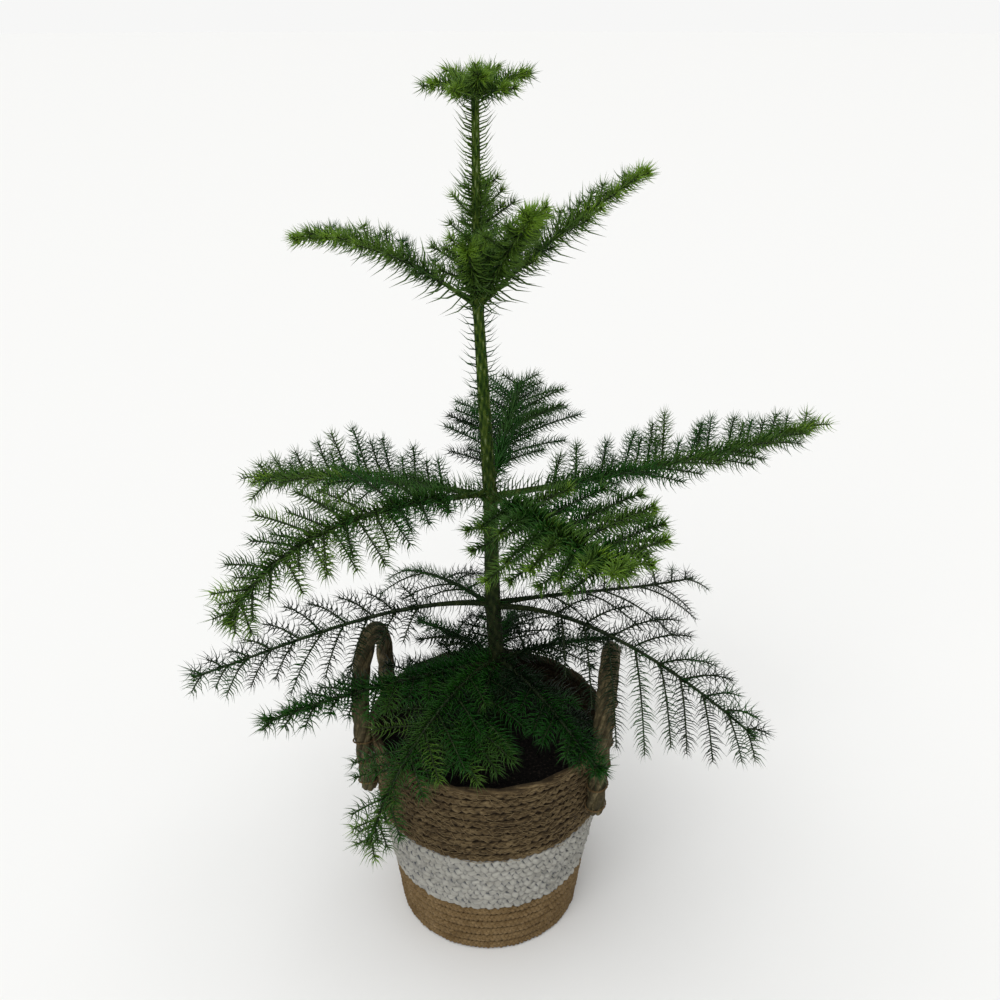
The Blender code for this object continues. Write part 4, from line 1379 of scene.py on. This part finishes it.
def needle_tree(paints):
    """Needles in a spiral along guide paths, each on its own golden turn."""
    greens = {f"green_{index}": paint for index, paint in enumerate(paints)}
    tree = Tree("needles", spacing=0.0007, length=0.0100, width=0.00036, lift=0.20, flatness=0.85, seed=3, **greens)
    curves = tree.add("GeometryNodeMeshToCurve", tree["Geometry"])
    curves = tree.add("GeometryNodeSetCurveNormal", curves, None, mode="Z_UP")
    step = tree["spacing"] * tree.named("step")
    even = tree.add("GeometryNodeResampleCurve", curves, None, step, mode="LENGTH")
    spots = tree.add("GeometryNodeCurveToPoints", even, mode="EVALUATED")
    jitter = tree.random(-TURN_JITTER, TURN_JITTER, tree["seed"])
    turn = tree.add("GeometryNodeInputIndex") * GOLDEN_ANGLE + jitter
    spoke = tree.spoke(spots["Tangent"], spots["Normal"], turn, tree["flatness"])
    spoke = spoke + tree.point(0.0, 0.0, tree["lift"])
    aim = tree.add("FunctionNodeAxesToRotation", spots["Tangent"], spoke, primary_axis="Z", secondary_axis="X")
    seat = tree.vector("NORMALIZE", spoke) * (tree.named("girth") * NEEDLE_SEAT)
    seated = tree.add("GeometryNodeSetPosition", spots, None, None, seat)

    ahead = tree.named("ahead")
    size = tree["length"] * tree.named("needle") * tree.random(*SIZE_JITTER, tree["seed"] + 1)
    out = size * (ahead * SHORTER_AHEAD + 1.0)
    forward = size * tree.random(*BEND_JITTER, tree["seed"] + 2) * (ahead * LONGER_AHEAD + 1.0)
    scale = tree.point(out, size, forward)
    placed = tree.add("GeometryNodeInstanceOnPoints", seated, None, spike_shape(tree), None, None, aim, scale)
    leaf = tree.add("GeometryNodeSetShadeSmooth", tree.add("GeometryNodeRealizeInstances", placed), None, True)
    leaf = tree.add("GeometryNodeSetMaterial", leaf, None, tree["green_0"])
    for index in range(1, len(paints)):
        same = tree.add("FunctionNodeCompare", tree.named("tone"), float(index), 0.5,
                        data_type="FLOAT", operation="EQUAL")
        leaf = tree.add("GeometryNodeSetMaterial", leaf, same, tree[f"green_{index}"])
    tree.join(leaf, tree.result)
    return tree


# %% Needle greens, from deep shade to fresh tips
# The darker greens are painted shade under the tiers above and the lighter ones painted light, on top of the needles'
# own fresh and old tones.
GREENS = (
    ("needles_deep", (0.002, 0.016, 0.002)), ("needles_shaded", (0.006, 0.056, 0.003)),
    ("needles_old", (0.014, 0.078, 0.005)), ("needles_green", (0.031, 0.088, 0.0105)),
    ("needles_light", (0.060, 0.130, 0.0150)), ("needles_fresh", (0.095, 0.185, 0.0190)),
    ("needles_sunlit", (0.155, 0.285, 0.0200)),
)


def needle_paint(name, colour):
    paint = Paint(name, colour, 0.5, 0.25)
    paint.give("Roughness", paint.spread(paint.speckle(paint.place(), 900.0), 0.0, 1.0, 0.38, 0.55))
    return paint.material


needles = needle_tree([needle_paint(*look) for look in GREENS])
print("greens:", len(GREENS))

# %% Needles along a path
TIP_SHARE = 0.25
TIP_LEAN = 0.55
INNER_SHARE = 0.30
LIGHTER_TIP_SHARE = 0.78
COMB_LEAN = 0.05
BUD_PLACES = (-0.0024, -0.0008, 0.0008)
BUD_SIZES = (0.85, 0.70, 0.50)
BUD_LEANS = (0.0, 0.35, 0.60)


def needled(path, needle, step, ahead, taper, fresher=0.0):
    """A guide path with its needle sizes: shorter and steeper at the tip.

    The inner needles of a shoot are a tone darker: older needles, and painted shade.
    Those at the tip may be some tones lighter: fresh needles, and painted light.
    """
    count = len(path["points"])
    sizes, leaning, tones = [], [], []
    for index in range(count):
        share = index / (count - 1)
        tip = max(0.0, (share - 1.0 + TIP_SHARE) / TIP_SHARE)
        sizes.append(needle * (1.0 - taper * tip))
        leaning.append(ahead + TIP_LEAN * tip)
        tones.append(green(path["tone"] - (share < INNER_SHARE) + fresher * (share > LIGHTER_TIP_SHARE)))
    return {**path, "needle": sizes, "ahead": leaning, "step": step, "tone": tones}


def comb(path, needle, step, share=1.0):
    """Long, sparse needles of one size over the first share of a path."""
    count = max(2, round(share * len(path["points"])))
    part = {label: value[:count] if isinstance(value, list) else value for label, value in path.items()}
    # The comb is a tone darker: older needles near the trunk, in painted shade.
    return {**part, "tone": green(path["tone"] - 1.0), "needle": needle, "ahead": COMB_LEAN, "step": step}


def bud(path, needle, step, fresher, lean):
    """The close rosette of needles at the end of a shoot."""
    # The rosette is some tones lighter: fresh needles, and painted light.
    last, before = path["points"][-1], path["points"][-2]
    course = (last - before).normalized()
    return {"points": [last + course * place for place in BUD_PLACES], "girth": path["girth"][-1],
            "tone": green(path["tone"] + fresher), "needle": [size * needle for size in BUD_SIZES],
            "step": step, "ahead": [lean + more for more in BUD_LEANS]}


# %% Grow the whorls
# Lengths of the needles in centimetres and steps between them in shares of the
# tree's spacing, on stems and twigs and in the combs of long needles on a bare
# bough and the foot of its stem; how far up the stem a comb reaches; how far the
# needles lean ahead, their width in metres and how much they shorten at a tip;
# the steps in the buds, none where 0, how many tones lighter the tips and buds
# are, fresh needles in painted light, and how far their needles lean ahead.
Leaves = namedtuple("Leaves", "stem stem_step comb comb_step comb_share twig twig_step ahead width taper "
                              "stem_bud twig_bud fresher bud_lean")
LEAVES = {
    "top": Leaves(1.15, 0.55, 1.15, 1.0, 0.3, 1.00, 0.72, 0.10, 0.00034, 0.30, 0.14, 0.35, 1.0, 0.25),
    "upper": Leaves(1.25, 0.42, 2.20, 1.8, 0.6, 1.08, 0.78, 0.15, 0.00031, 0.30, 0.12, 0.35, 1.0, 0.35),
    "middle": Leaves(1.35, 0.50, 1.60, 1.1, 0.3, 1.20, 0.80, 0.20, 0.00030, 0.35, 0.18, 0.0, 0.0, 0.35),
    "lower": Leaves(1.20, 0.90, 1.30, 1.1, 0.1, 1.40, 1.12, 0.18, 0.00027, 0.50, 0.50, 0.0, 0.0, 0.35),
    "bottom": Leaves(1.40, 0.60, 1.40, 0.9, 0.2, 1.40, 0.80, 0.20, 0.00030, 0.35, 0.30, 0.8, 0.0, 0.35),
}
LEAVES_ON_BOUGH = {
    ("upper", 263): {"stem": 1.50, "stem_bud": 0.04, "twig_step": 0.52, "twig_bud": 0.25, "bud_lean": 0.0},
    ("upper", 300): {"stem": 1.60, "stem_bud": 0.03, "twig_step": 0.52, "twig_bud": 0.25, "bud_lean": 0.0},
    ("middle", 18): {"twig_step": 0.82, "stem_step": 0.52},
    ("middle", 83): {"twig": 1.10, "twig_step": 0.65},
    ("middle", 163): {"twig_step": 0.92},
    ("middle", 304): {"stem": 1.80, "stem_step": 0.34, "twig": 1.30, "twig_step": 0.66, "width": 0.00036,
                      "stem_bud": 0.05, "twig_bud": 0.25, "fresher": 1.5, "bud_lean": 0.0},
    ("lower", 35): {"twig": 1.05, "twig_step": 1.40, "stem_step": 1.2},
    ("lower", 120): {"twig": 1.20, "twig_step": 1.30, "twig_bud": 0.8},
    ("bottom", 34): {"twig": 1.20, "twig_step": 1.00},
    ("bottom", 82): {"twig": 1.20, "twig_step": 1.20},
    ("bottom", 128): {"twig": 1.20, "twig_step": 1.20},
    ("bottom", 205): {"twig_step": 1.00},
    ("bottom", 231): {"twig_step": 1.20, "width": 0.00028, "fresher": 1.0},
}
for whorl in WHORLS:
    shoots = plant[whorl.name]
    for number, (bough, stem, twigs) in enumerate(zip(whorl.boughs, shoots.stems, shoots.twigs), 1):
        leaves = LEAVES[whorl.name]._replace(**LEAVES_ON_BOUGH.get((whorl.name, bough.azimuth), {}))
        paths = [needled(stem, leaves.stem, leaves.stem_step, leaves.ahead, leaves.taper, leaves.fresher),
                 comb(stem, leaves.comb, leaves.comb_step, leaves.comb_share),
                 bud(stem, leaves.stem, leaves.stem_bud, 1.0, leaves.bud_lean)]
        if whorl.bare:
            paths.append(comb(shoots.bare[number - 1], leaves.comb, leaves.comb_step))
        paths += [needled(path, leaves.twig, leaves.twig_step, leaves.ahead, leaves.taper) for path in twigs]
        if leaves.twig_bud:
            paths += [bud(path, leaves.twig, leaves.twig_bud, leaves.fresher, leaves.bud_lean) for path in twigs]
        grow(f"{whorl.name}_needles_{number}", guide_paths(paths), needles, "foliage",
             f"{whorl.name}_foliage_{number}", seed=number, width=leaves.width)

# %% [markdown]
# ## Needles on the trunk, and the growing tip
#
# The trunk keeps its needles for some years: they are long and close near the
# top, and few are left lower down. The tip is a bud in a rosette.

# %% Trunk needles
# Each zone: its lowest and highest point, and its needles' length in centimetres,
# step, lean and tone.
# The tones go darker down the trunk: painted shade under the tiers.
TRUNK_LEAVES = (
    (0.660, 0.722, 1.50, 0.80, 0.30, 5), (0.620, 0.660, 1.90, 0.75, 0.25, 4), (0.574, 0.620, 2.10, 0.75, 0.20, 3),
    (0.500, 0.574, 1.50, 1.30, 0.15, 2), (0.420, 0.500, 1.30, 1.60, 0.12, 2), (0.316, 0.420, 1.25, 1.40, 0.10, 1),
    (0.230, 0.316, 1.10, 0.80, 0.10, 1),
)
TRUNK_LEAF_WIDTH = 0.00025
TRUNK_LEAF_STEP = 0.004
paths = []
for low, high, needle, step, ahead, tone in TRUNK_LEAVES:
    count = math.ceil((high - low) / TRUNK_LEAF_STEP)
    spots, girths = zip(*[trunk_at(low + (high - low) * index / count) for index in range(count + 1)])
    paths.append({"points": spots, "girth": list(girths), "needle": needle, "ahead": ahead, "step": step,
                  "tone": green(tone)})
grow("trunk_needles", guide_paths(paths), needles, "foliage", flatness=1.0, lift=0.0, width=TRUNK_LEAF_WIDTH)

# %% The growing tip
LEADER_FOOT = TRUNK_TOP - 0.001
LEADER_TOP = 0.734
LEADER_GIRTHS = [0.0022, 0.0022, 0.4 * 0.0022]
ROSETTE_NEEDLES = [1.2, 0.95, 0.55]
ROSETTE_LEANS = [0.05, 0.3, 0.8]
ROSETTE_STEP = 0.25
low, high = trunk_at(LEADER_FOOT)[0], trunk_at(LEADER_TOP)[0]
leader = {"points": [low, low.lerp(high, 0.5), high], "girth": LEADER_GIRTHS}
grow("leader_stem", guide_paths([leader]), tubes, "foliage", sides=8, paint=twig_paint.material)
# The rosette gets the lightest green: fresh needles, and painted light.
rosette = {**leader, "tone": green(TONE_LAST), "needle": ROSETTE_NEEDLES, "ahead": ROSETTE_LEANS,
           "step": ROSETTE_STEP}
grow("leader_needles", guide_paths([rosette]), needles, "foliage", "leader_tip", flatness=1.0, lift=0.0,
     width=LEAVES["top"].width)
